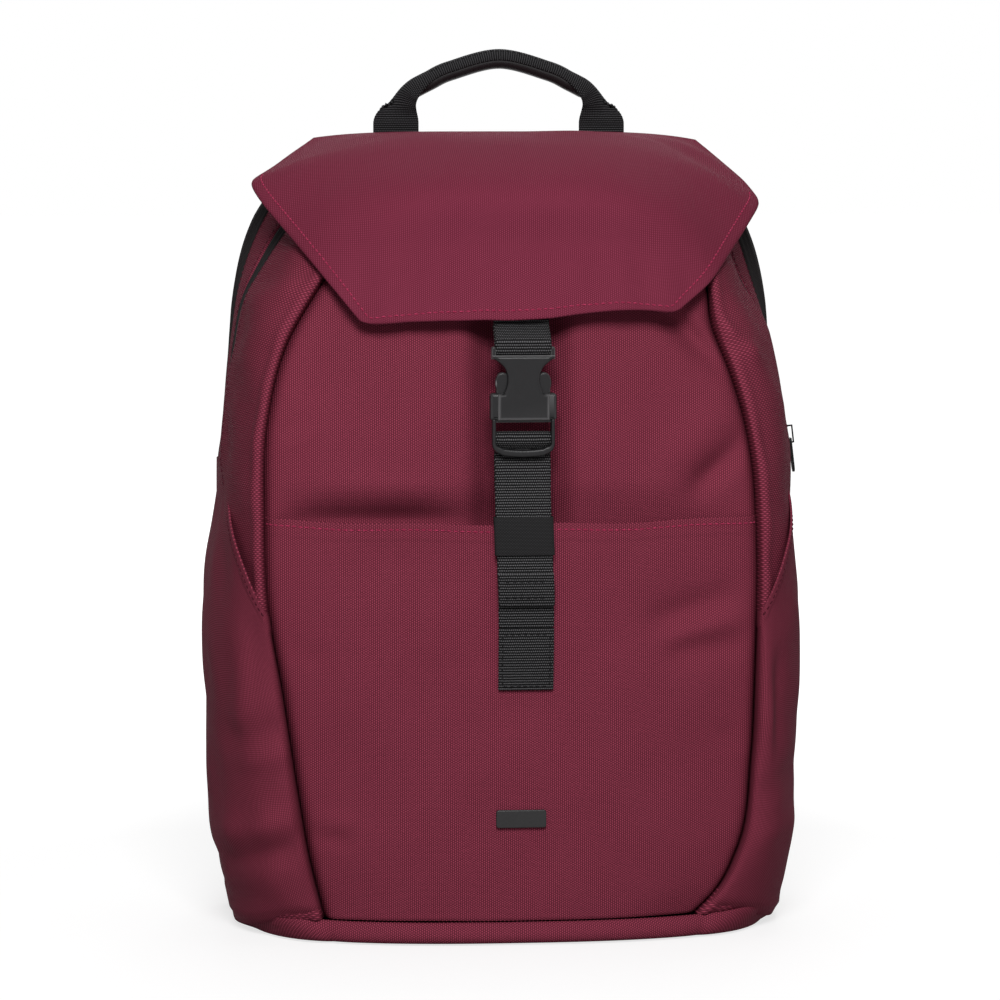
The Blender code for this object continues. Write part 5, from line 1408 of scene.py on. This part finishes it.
def flap_strap():
    """The short band under the flap that holds the socket."""
    bar_z = MOUTH_Z + 0.0352
    rise = 0.0030
    under = 2 * FLAP_PLY + WEB_THICK + 0.0012
    lining_y = float(crown_y(FLAP_LOW_Z)) - FLAP_LIFT + under + GAP
    sewn_z = mix(FLAP_LOW_Z, BODY_TOP, 0.2)
    sewn_y = mix(float(crown_y(sewn_z)) - FLAP_OFF, lining_y - under, 0.35) + under + 0.0006
    path = side_path(
        (sewn_y, sewn_z), (lining_y, FLAP_LOW_Z), (lining_y, FLAP_LOW_Z - 0.0025),
        (STRAP_Y - rise, bar_z + 0.0036), turn_round(STRAP_Y, bar_z, rise, 170, 385, 14),
        (lining_y + 1.5 * WEB_THICK + 0.0004, FLAP_LOW_Z - 0.0035),
    )
    made, points = webbing("flap_strap_web", path, WEB, WEBBING)
    cut(wear(made, "flap", "webbing", "flap_strap"), points, "folded", "flap_lining_cloth")


closing_strap()
strap_keeper()
strap_anchor()
flap_strap()

# %% [markdown]
# ## Side-release buckle
# The socket is one hollow moulding: a flat face with two deep bites at the sides, where the plug's
# springing ears show, and a collar round its mouth. The plug is an open frame with a bowed front bar.
# A flat piece is drawn as a filled curve with a rolled edge, which gives a moulding's soft corners. The
# plug's frame is a squared tube along its own line.

# %% Moulding maker


def moulding(name, outline, thick, round_, y, look, z=0.0):
    """A plate in the XZ plane with rounded edges, its middle at y and its outline raised by z."""
    data = bpy.data.curves.new(name, "CURVE")
    data.dimensions = "2D"
    data.fill_mode = "BOTH"
    data.extrude = thick / 2 - round_
    data.bevel_depth = round_
    data.bevel_resolution = 4
    data.offset = -round_
    spline = data.splines.new("POLY")
    spline.points.add(len(outline) - 1)
    spline.use_cyclic_u = True
    for dot, (a, b) in zip(spline.points, outline):
        dot.co = (a, b + z, 0.0, 1.0)
    drawn = put(name + "_outline", data)
    bpy.context.view_layer.update()
    flat = bpy.data.meshes.new_from_object(drawn.evaluated_get(bpy.context.evaluated_depsgraph_get()))
    bpy.data.objects.remove(drawn, do_unlink=True)
    flat.transform(Matrix.Translation((0, y, 0)) @ Matrix.Rotation(math.pi / 2, 4, "X"))
    flat.materials.clear()
    flat.materials.append(look)
    flat.shade_smooth()
    flat.set_sharp_from_angle(angle=math.radians(38))
    return put(name, flat)


def arc(cx, cz, radius, start, end, count):
    """Points (x, z) on an arc, angles in degrees."""
    angle = np.radians(np.linspace(start, end, count))
    return [(cx + radius * math.cos(a), cz + radius * math.sin(a)) for a in angle]


def mirrored(right):
    """A right-hand outline closed by its mirror image."""
    return right + [(-x, z) for x, z in reversed(right)]


def joined(name, pieces):
    """Several meshes as one object."""
    first = pieces[0]
    chosen = dict(active_object=first, selected_editable_objects=pieces, selected_objects=pieces)
    with bpy.context.temp_override(**chosen):
        bpy.ops.object.join()
    first.name = name
    return first


# %% Socket, plug and ears
FACE_HALF, COLLAR_HALF, COLLAR_TALL, SOCKET_TALL = 0.0127, 0.0163, 0.0132, 0.0318
SOCKET_THICK, COLLAR_THICK, HORN_IN, HORN_OUT, HORN_TOP = 0.0112, 0.0080, 0.0134, 0.0156, 0.0360
SOCKET_FLANK = (
    (0.0098, 0.0130), (0.0085, 0.0162), (0.0079, 0.0196), (0.0083, 0.0230), (0.0099, 0.0262),
    (0.0128, 0.0288), (0.0150, 0.0302),
)
SOCKET_ROUND, HORN_THICK, FRAME_BOW, FRAME_DEEP, FRAME_AHEAD = 0.0016, 0.0062, 0.0016, 0.0027, 0.0016
TONGUE_HALF, YOKE_HALF, TONGUE_THICK = 0.0042, 0.0140, 0.0040
EAR_OUT, EAR_TALL, EAR_THICK = 0.0138, 0.0102, 0.0052
AT_MOUTH = (STRAP_Y, PLASTIC, MOUTH_Z)


def buckle_socket():
    """Face with two bites, collar, horns and the bar that webbing turns round."""
    right = [(FACE_HALF, 0.0), (FACE_HALF, COLLAR_TALL - 0.0006)]
    right += [tuple(spot) for spot in bend(SOCKET_FLANK, 40).tolist()]
    right += [(HORN_OUT - 0.0001, SOCKET_FLANK[-1][1] + 0.0008), (HORN_OUT - 0.0001, SOCKET_TALL)]
    pieces = [moulding("socket_face", mirrored(right), SOCKET_THICK, SOCKET_ROUND, *AT_MOUTH)]
    right = arc(COLLAR_HALF - 0.0012, 0.0012, 0.0012, -90, 0, 7)
    right += arc(COLLAR_HALF - 0.0016, COLLAR_TALL - 0.0016, 0.0016, 0, 90, 9)
    pieces.append(moulding("socket_collar", mirrored(right), COLLAR_THICK, SOCKET_ROUND, *AT_MOUTH))
    mid, half = (HORN_IN + HORN_OUT) / 2, (HORN_OUT - HORN_IN) / 2
    for side, word in SIDES:
        horn = arc(side * mid, HORN_TOP - half, half, 0, 180, 9)
        horn += [(side * mid - half, SOCKET_TALL - 0.002), (side * mid + half, SOCKET_TALL - 0.002)]
        pieces.append(moulding(word + "_socket_horn", horn, HORN_THICK, 0.0008, *AT_MOUTH))
    wear(joined("buckle_socket_moulding", pieces), "flap", "plastic", "buckle_socket")


def buckle_plug():
    """The open frame with its bowed front bar, the bar inside it, and the yoke and tongue in the socket."""
    half, low_z, corner = WEB / 2 + 0.0011, MOUTH_Z - PLUG_TALL + 0.0034, 0.0036
    side = [(half, MOUTH_Z + 0.0004), (half, MOUTH_Z - 0.006)]
    side += arc(half - corner, low_z + corner, corner, 0, -78, 9)
    across = np.linspace(half - corner - 0.001, 0, 8)
    front = [(x, low_z - FRAME_BOW * (1 - (x / half) ** 2)) for x in across]
    right = np.array(side + front)
    path = np.concatenate([right, right[-2::-1] * (-1, 1)])
    line = even(grid(path[:, 0], 0.0, path[:, 1]), 0.0006)
    ahead = unit(np.gradient(line, axis=0))
    deep = np.array([0.0, 1.0, 0.0])
    out = np.cross(ahead, deep)
    c, d = oval(28, 0.6, 0.6)
    wide = mix(0.0010, 0.0019, np.abs(ahead[:, 0]) ** 2)
    rings = line[:, None, :] + out[:, None, :] * (wide[:, None] * c)[..., None]
    rings = rings + deep * (FRAME_DEEP * d - FRAME_AHEAD)[None, :, None] + np.array([0.0, STRAP_Y, 0.0])
    pieces = [tube("plug_frame", rings, PLASTIC)]
    y, z = STRAP_Y + BAR_RADIUS * c, MOUTH_Z - BAR_DROP + BAR_RADIUS * d
    pieces.append(tube("plug_bar", [grid(x, y, z) for x in np.linspace(-half, half, 3)], PLASTIC))
    tongue = [(YOKE_HALF, -0.0012), (YOKE_HALF, 0.0038), (TONGUE_HALF, 0.0042), (TONGUE_HALF, 0.0262)]
    pieces.append(moulding("plug_tongue", mirrored(tongue), TONGUE_THICK, 0.0004, *AT_MOUTH))
    wear(joined("buckle_plug_moulding", pieces), "strap", "plastic", "buckle_plug")


def buckle_ear(side, word):
    """A springing ear with a rounded thumb pad."""
    out, low = EAR_OUT, COLLAR_TALL + GAP
    high = low + EAR_TALL
    shape = [(out - 0.0034, 0.0044), (out - 0.0010, 0.0044)]
    shape += [(out - 0.0013, low - 0.0008), (out - 0.0004, low)]
    shape += arc(out - 0.0080, low + 0.0044, 0.0080, -20, 20, 7)
    shape += arc(out - 0.0036, high - 0.0034, 0.0030, 20, 120, 8)
    shape += [(out - 0.0072, high - 0.002), (out - 0.0058, low + 0.0010)]
    shape = [(side * x, z) for x, z in shape]
    made = moulding(word + "_ear_moulding", shape, EAR_THICK, 0.0009, *AT_MOUTH)
    wear(made, word + "_prong", "plastic", word + "_prong")


buckle_socket()
buckle_plug()
for side, word in SIDES:
    buckle_ear(side, word)
print("buckle: %.1f mm wide, %.1f mm tall" % (2000 * COLLAR_HALF, 1000 * (HORN_TOP + PLUG_TALL)))

# %% [markdown]
# ## Patch
# A plain moulded patch is sewn to the pocket. It carries no words and no mark.

# %% Blank patch
PATCH_Z, PATCH_HALF, PATCH_TALL, PATCH_CORNER = 0.064, 0.0125, 0.009, 0.0014
PATCH_THICK, PATCH_ROUND, PATCH_AHEAD = 0.0018, 0.0006, 0.0017


def blank_patch():
    """A plain rubber patch with rounded corners, flat against the middle of the pocket."""
    wide, tall = PATCH_HALF - PATCH_CORNER, PATCH_TALL / 2 - PATCH_CORNER
    right = arc(wide, -tall, PATCH_CORNER, -90, 0, 6) + arc(wide, tall, PATCH_CORNER, 0, 90, 6)
    y = float(crown_y(PATCH_Z)) - PATCH_AHEAD
    made = moulding("blank_patch_moulding", mirrored(right), PATCH_THICK, PATCH_ROUND, y, RUBBER, PATCH_Z)
    wear(made, "bag", "rubber", "blank_patch")
    print("patch: %.0f x %.0f mm, blank" % (2000 * PATCH_HALF, 1000 * PATCH_TALL))


blank_patch()

# %% [markdown]
# ## Handle
# A band of webbing stands up from behind the flap on each side. Above the flap it is folded lengthwise
# over a smooth round core, so it shows webbing along the top of the grip and the bare core below. One
# grid does both: its section goes from flat to an upside-down U along the way.

# %% Handle
HANDLE_HALF, HANDLE_WEB, HANDLE_RISE, HANDLE_SHIFT = 0.054, 0.0229, 0.0443, 0.0040
HANDLE_ARCH = (
    (1.0, -0.02), (1.0, 0.22), (1.0, 0.37), (0.965, 0.47), (0.874, 0.58), (0.676, 0.71), (0.472, 0.825),
    (0.0, 0.965),
)
FLAT_RUN, FOLD_RUN, FOLD_TURN, FOLD_DEEP, FOLD_WIDE = 0.0100, 0.0250, math.radians(94), 0.0052, 0.0056
TUCK, PINCH, CORE_RADIUS, CORE_DROP, HANDLE_BASE_TALL = 0.0046, 0.0010, 0.0045, 0.0006, 0.0245
GRIP_STITCH, BOX_STITCH = (0.0030, 0.0022, 0.0003), (0.0030, 0.0022, 0.00036)
HANDLE_BASE_Z, HANDLE_Y = BODY_TOP - 0.0025, REAR_Y + GAP + 0.0014
TUCK_RUN, TUCK_SPAN, CORE_ENDS = 0.027, 0.018, (0.152, 0.848)
GRIP_THICK, GRIP_RIBS = 0.0013, (0.00022, 0.00005)
HANDLE_BASE_THICK, HANDLE_BASE_RIBS = 0.0022, 0.00015


def handle():
    """Webbing, core and stitching of the grip."""
    knots = []
    for x, z in HANDLE_ARCH:
        knots.append((-x * HANDLE_HALF, HANDLE_Y, HANDLE_BASE_Z + z * HANDLE_RISE))
    knots += [(-x, y, z) for x, y, z in reversed(knots[:-1])]
    line = even(bend(knots, 300), 0.00028) + np.array([HANDLE_SHIFT, 0, 0])
    run = run_of(line)
    t = run / run[-1]
    ahead = unit(np.gradient(line, axis=0))
    across = np.cross(ahead, (0.0, 1.0, 0.0))
    c = np.linspace(1, -1, 33)
    near = np.minimum(run, run[-1] - run)
    blend = ease((near - FLAT_RUN) / FOLD_RUN)
    turn = c * FOLD_TURN
    level = np.sign(line[:, :1] - HANDLE_SHIFT) * np.array([1.0, 0.0, 0.0])
    flat = level[:, None, :] * (c[None, :, None] * HANDLE_WEB / 2)
    tuck = TUCK * (1 - ease((near - TUCK_RUN) / TUCK_SPAN))
    depth = FOLD_DEEP * np.cos(turn)[None, :] - tuck[:, None] * np.abs(c)[None, :] ** 3
    fold_up = across[:, None, :] * depth[..., None]
    fold_up = fold_up + np.array([0.0, 1.0, 0.0]) * (FOLD_WIDE * np.sin(turn))[None, :, None]
    points = line[:, None, :] + mix(flat, fold_up, blend[:, None, None])
    pinch = np.sin(math.pi * np.clip(blend, 0, 1)) * PINCH
    points[..., 1] += pinch[:, None] * (1 - 2 * np.abs(c))[None, :]
    rib = mix(*GRIP_RIBS, blend) * ribs(run)
    points = points + facing(points) * rib[:, None, None]
    plan = ruled(c * HANDLE_WEB / 2, run)
    made = shell("handle_web", points, GRIP_THICK, GRIP_WEB, flat=plan)
    cut(wear(made, "handle", "webbing", "handle_webbing"), points, "folded", "handle_core_tube")
    lines = [(u, np.linspace(0.27, 0.73, 160)) for u in (0.30, 0.70)]
    sew("handle_stitch", points, lines, BLACK_THREAD, "handle", "webbing", GRIP_STITCH)
    core = line[(t > CORE_ENDS[0]) & (t < CORE_ENDS[1])][::6]
    away = unit(np.gradient(core, axis=0))
    up = np.cross(away, (0.0, 1.0, 0.0))
    a, b = oval(28)
    rings = []
    for k, spot in enumerate(core):
        end = min(k, len(core) - 1 - k)
        size = CORE_RADIUS * math.sqrt(min((end + 0.4) / 5, 1.0))
        loop = up[k] * (a * size)[:, None] + np.array([0, 1.0, 0]) * (b * size * 1.05)[:, None]
        rings.append(spot - up[k] * CORE_DROP + loop)
    made = tube("handle_core_tube", rings, RUBBER)
    wear(made, "handle", "rubber", "handle_core")


def handle_base(side, word):
    """The sewn end of the handle with its boxed stitch."""
    z = np.linspace(HANDLE_BASE_Z - HANDLE_BASE_TALL, HANDLE_BASE_Z - GAP, 6)
    path = grid(side * HANDLE_HALF + HANDLE_SHIFT, HANDLE_Y, z)
    made, points = webbing(word + "_handle_base_web", path, HANDLE_WEB, FINE_WEB,
                           across=(-1, 0, 0), thick=HANDLE_BASE_THICK, rise=HANDLE_BASE_RIBS, passes=0)
    cut(wear(made, "bag", "webbing", word + "_handle_base"), points, "laid", "back_cloth")
    line = np.linspace(0.12, 0.88, 30)
    lines = [(line, 0.12), (line, 0.88), (0.12, line), (0.88, line), (line, line), (line, 1 - line)]
    sew(word + "_handle_box_stitch", points, lines, BLACK_THREAD, slot="webbing", size=BOX_STITCH)


handle()
for side, word in SIDES:
    handle_base(side, word)

# %% [markdown]
# ## Back
# The back is a foam board in cloth with two cushions of padded net. The shoulder straps are shaped
# foam: cloth outside, net against the wearer, and a black binding round the edge. Below, webbing runs
# from a sewn tab up through a ladder lock, and its free tail hangs down beside it.

# %% Back panel, cushions and divider
BACK_PAD_X, BACK_PAD_Z, BACK_PAD_HALF, BACK_PAD_TALL, PAD_RISE = 0.058, 0.206, 0.042, 0.132, 0.0072
QUILT_Z, QUILT_WIDE, QUILT_SHARE = (0.165, 0.250), 0.0030, 0.55
DIVIDER_TOP, DIVIDER_THICK = 0.290, 0.0040
BACK_INSET, BACK_INSET_Z, BACK_EDGE, BACK_EDGE_DROP = (0.0012, 0.0050), 0.215, 0.006, 0.0034
BACK_SEWN_THIN, BORDER_SIDE, BORDER_LOW = 0.0042, 0.038, 0.018


def back_panel():
    """The cloth-covered foam back with a border stitch."""
    u, v = spread(90, 130)
    z = mix(SEAM_Z + 0.0006, BODY_TOP - 0.0004, 1 - (1 - v) ** 1.5)
    half = body_half(z) - mix(*BACK_INSET, ease((z - BACK_INSET_Z) / 0.03))
    x = half * (1 - 2 * u)
    border = np.minimum(half - np.abs(x), np.minimum(BODY_TOP - z, z - SEAM_Z))
    y = REAR_Y - BACK_EDGE_DROP * (1 - ease(border / BACK_EDGE)) + 0.0003 * ripple(x, z, 0.06, 9.0)
    points = grid(x, y, z)
    made = shell("back_cloth", points, BACK_THICK - BACK_SEWN_THIN, CANVAS, flat=seen(x, z))
    wear(made, "bag", "foam", "back_panel")
    rise = np.linspace(0.03, 0.93, 240)
    lines = [(BORDER_SIDE, rise), (1 - BORDER_SIDE, rise), (np.linspace(0.04, 0.96, 160), BORDER_LOW)]
    sew("back_border_stitch", points, lines, PINK_THREAD)


def cushion(side, word):
    """A padded net cushion, quilted into three."""
    u, v = spread(64, 150)
    a, b = 1 - 2 * u, 2 * v - 1
    half = BACK_PAD_HALF * (1 - 0.10 * np.clip(b, 0, 1) ** 2)
    stretch = 1 / np.maximum((np.abs(a) ** 5 + np.abs(b) ** 9) ** (1 / 7.0), 1e-6)
    edge = np.maximum(np.abs(a), np.abs(b))
    keep = np.minimum(stretch * edge, 1.0)
    x = side * BACK_PAD_X + half * a * keep
    z = BACK_PAD_Z + BACK_PAD_TALL * b * keep
    puff = (1 - np.clip(edge, 0, 1) ** 5) ** 0.5
    quilt = 1 - QUILT_SHARE * sum(hump(z, at, QUILT_WIDE) for at in QUILT_Z)
    y = REAR_Y + 0.0006 + PAD_RISE * puff * quilt
    deep = np.maximum((y - REAR_Y) * 0.9, 0.0004)
    made = shell(word + "_back_cushion", grid(x, y, z), deep, NET, flat=seen(x, z))
    wear(made, "bag", "mesh", word + "_back_pad")


def divider():
    """The padded wall between the two compartments, in lining cloth."""
    u, v = spread(40, 60)
    z = mix(SEAM_Z + 0.006, DIVIDER_TOP, v)
    x = (2 * u - 1) * (BODY_HALF - 0.010)
    edge = np.minimum(1 - np.abs(2 * u - 1), 1 - np.abs(2 * v - 1))
    y = LAPTOP_ZIP_Y - 0.0098 - 0.0016 * ease(edge / 0.05)
    made = shell("laptop_divider_cloth", grid(x, y, z), DIVIDER_THICK, LINING, flat=seen(x, z))
    wear(made, "bag", "foam", "laptop_divider")


back_panel()
for side, word in SIDES:
    cushion(side, word)
divider()
print("back cushions: %.0f x %.0f mm, %.1f mm proud" % (
    2000 * BACK_PAD_HALF, 2000 * BACK_PAD_TALL, 1000 * PAD_RISE))

# %% Shoulder straps
STRAP_TOP = Vector((0.022, REAR_Y + 0.016, 0.384))
STRAP_LOW = Vector((0.118, REAR_Y + 0.016, 0.046))
STRAP_LONG = (STRAP_TOP - STRAP_LOW).length
STRAP_OUT, STRAP_BULGE, PAD_LONG, PAD_WIDE, PAD_NECK, PAD_THICK = 0.016, 0.028, 0.235, 0.060, 0.028, 0.011
LOCK_WEB, TAIL_LONG, WING_LONG, TAB_LONG, TAB_SPREAD = 0.025, 0.070, 0.013, 0.024, 0.007
PAD_STEPS, PAD_SIDES, PAD_SEAM, PAD_SEAM_AT, PAD_SEAM_WIDE, BOUND_FROM = 110, 56, 0.20, 0.93, 0.045, 0.90
WING_ROUND, TAB_ROUND = 0.06, 0.05
BAR_A = PAD_LONG + 2 * GAP + 0.0105


def bulge(a):
    """How far the strap stands off the back, from the distance along it."""
    return STRAP_BULGE * np.sin(math.pi * np.clip(a / STRAP_LONG, 0.0, 1.0)) ** 0.85


def strap_place(side):
    """Where a strap's own axes lie: along it downwards, and out from the back."""
    turn = math.atan2(side * (STRAP_TOP.x - STRAP_LOW.x), STRAP_TOP.z - STRAP_LOW.z)
    return Matrix.Translation((side * STRAP_TOP.x, STRAP_TOP.y, STRAP_TOP.z)) @ Matrix.Rotation(turn, 4, "Y")


def set_down(points, place):
    """Move a grid from a strap's own axes to the bag."""
    turn = np.array(place.to_3x3())
    return points @ turn.T + np.array(place.translation)


def shoulder_pad(side, word):
    """A foam strap in cloth and net with a bound edge."""
    place = strap_place(side)
    t = np.linspace(0, 1, PAD_STEPS)
    a = GAP + t * PAD_LONG
    wide = mix(PAD_NECK, PAD_WIDE, ease(t / 0.3))
    wide = mix(wide, LOCK_WEB + 0.006, ease((t - 0.72) / 0.28)) / 2
    thick = PAD_THICK / 2 * (1 - 0.35 * ease((t - 0.85) / 0.15))
    ends = np.minimum(np.arange(PAD_STEPS), np.arange(PAD_STEPS)[::-1])
    close = np.sqrt(np.clip((ends + 0.3) / 3.0, 0, 1))
    c, d = oval(PAD_SIDES, 0.55, 0.75)
    seam = 1 - PAD_SEAM * hump(np.abs(c), PAD_SEAM_AT, PAD_SEAM_WIDE)
    x = (wide * mix(0.94, 1.0, close))[:, None] * c
    y = bulge(a)[:, None] + (thick * close)[:, None] * d * seam
    rings = set_down(grid(x, y, -a[:, None]), place)
    plan = np.stack([x, np.broadcast_to(a[:, None], x.shape)], axis=-1)
    made = tube(word + "_shoulder_pad_cloth", rings, FINE, flat=plan)
    made.data.materials.append(NET)
    made.data.materials.append(TAPE)
    middle = np.abs((c + np.roll(c, -1)) / 2)
    kind = np.where(middle > BOUND_FROM, 2, np.where((d + np.roll(d, -1)) > 0, 0, 1))
    kinds = np.concatenate([np.tile(kind, PAD_STEPS - 1), [2, 2]]).astype(np.int32)
    made.data.polygons.foreach_set("material_index", kinds)
    wear(made, word + "_strap", "canvas", word + "_shoulder_pad")


def strap_webbing(side, word):
    """Webbing from the sewn tab up round the lock's bar and back as a free tail."""
    place = strap_place(side)
    y = float(bulge(BAR_A))
    share = np.linspace(0, 1, 12)
    a = mix(STRAP_LONG - GAP, BAR_A + 0.012, share)
    up = grid(0.0, mix(bulge(a), y + WRAP_RADIUS, ease(share)), -a)
    behind = y - 0.0022 + GAP + WEB_THICK / 2
    tail = []
    for part in (0.28, 0.45, 0.7, 1.0):
        down = BAR_A + TAIL_LONG * part
        t = (STRAP_LONG - GAP - down) / (STRAP_LONG - GAP - BAR_A - 0.012)
        under = mix(float(bulge(down)), y + WRAP_RADIUS, float(ease(t)))
        tail.append((0.0, under - mix(2.6 * WEB_THICK, WEB_THICK + 2 * GAP, part), -down))
    path = np.concatenate([
        up, turn_round(y, -BAR_A, WRAP_RADIUS, 0, 195, 14),
        [(0.0, behind, -BAR_A - 0.005), (0.0, behind, -BAR_A - 0.0105)], tail,
    ])
    across = np.array(place.to_3x3()) @ np.array([1.0, 0, 0])
    made, points = webbing(word + "_strap_web", set_down(path, place), LOCK_WEB, FINE_WEB, across=across)
    wear(made, word + "_strap", "webbing", word + "_strap_webbing")
    cut(made, points, "folded", word + "_shoulder_pad_cloth")


def blunt(share, round_):
    """1 along a piece, less towards both of its rounded ends."""
    return math.sqrt(min(share + round_, 1 + round_ - share, 2 * round_) / (2 * round_))


def strap_end(side, word):
    """The sewn-in wing above each pad and the wedge tab below."""
    place = strap_place(side)
    c, d = oval(40, 0.3, 0.5)
    rings = []
    low_y, high_y = -STRAP_OUT + GAP, PAD_THICK / 2
    for share in np.linspace(0, 1, 14):
        close = blunt(share, WING_ROUND)
        x = PAD_NECK / 2 * mix(0.93, 1.0, close) * c
        y = (low_y + high_y) / 2 + (high_y - low_y) / 2 * mix(0.86, 1.0, close) * d
        rings.append(grid(x, y, mix(GAP, WING_LONG, share)))
    made = tube(word + "_strap_wing_cloth", set_down(np.array(rings), place), CANVAS)
    wear(made, "bag", "canvas", word + "_strap_wing")
    rings = []
    for share in np.linspace(0, 1, 20):
        close = blunt(share, TAB_ROUND)
        half = LOCK_WEB / 2 + 0.001 + TAB_SPREAD * share
        far = mix(WEB_THICK + GAP, 0.003 - STRAP_OUT, share)
        near = GAP - STRAP_OUT
        x = half * mix(0.95, 1.0, close) * c
        y = (far + near) / 2 + (far - near) / 2 * mix(0.85, 1.0, close) * d
        rings.append(grid(x, y, -STRAP_LONG - mix(GAP, TAB_LONG, share)))
    made = tube(word + "_strap_tab_cloth", set_down(np.array(rings)[::-1], place), CANVAS)
    wear(made, "bag", "canvas", word + "_strap_tab")


for side, word in SIDES:
    shoulder_pad(side, word)
    strap_webbing(side, word)
    strap_end(side, word)
print("shoulder straps: %.0f mm from the top seam to the tab" % (1000 * STRAP_LONG))

# %% [markdown]
# ## Solids that show
# The base board, the ladder locks, the sliders and their pulls are hard, and their solids already have
# the real shape. They only need a finish.

# %% Finishes of the bare solids
bare = {"base_board": FOAM, "left_ladder_lock": PLASTIC, "right_ladder_lock": PLASTIC}
bare.update({word + part: STEEL for word in ("main", "laptop") for part in ("_slider", "_pull")})
for name, look in bare.items():
    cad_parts[name].data.materials.clear()
    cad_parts[name].data.materials.append(look)
print("solids that show:", ", ".join(sorted(bare)))
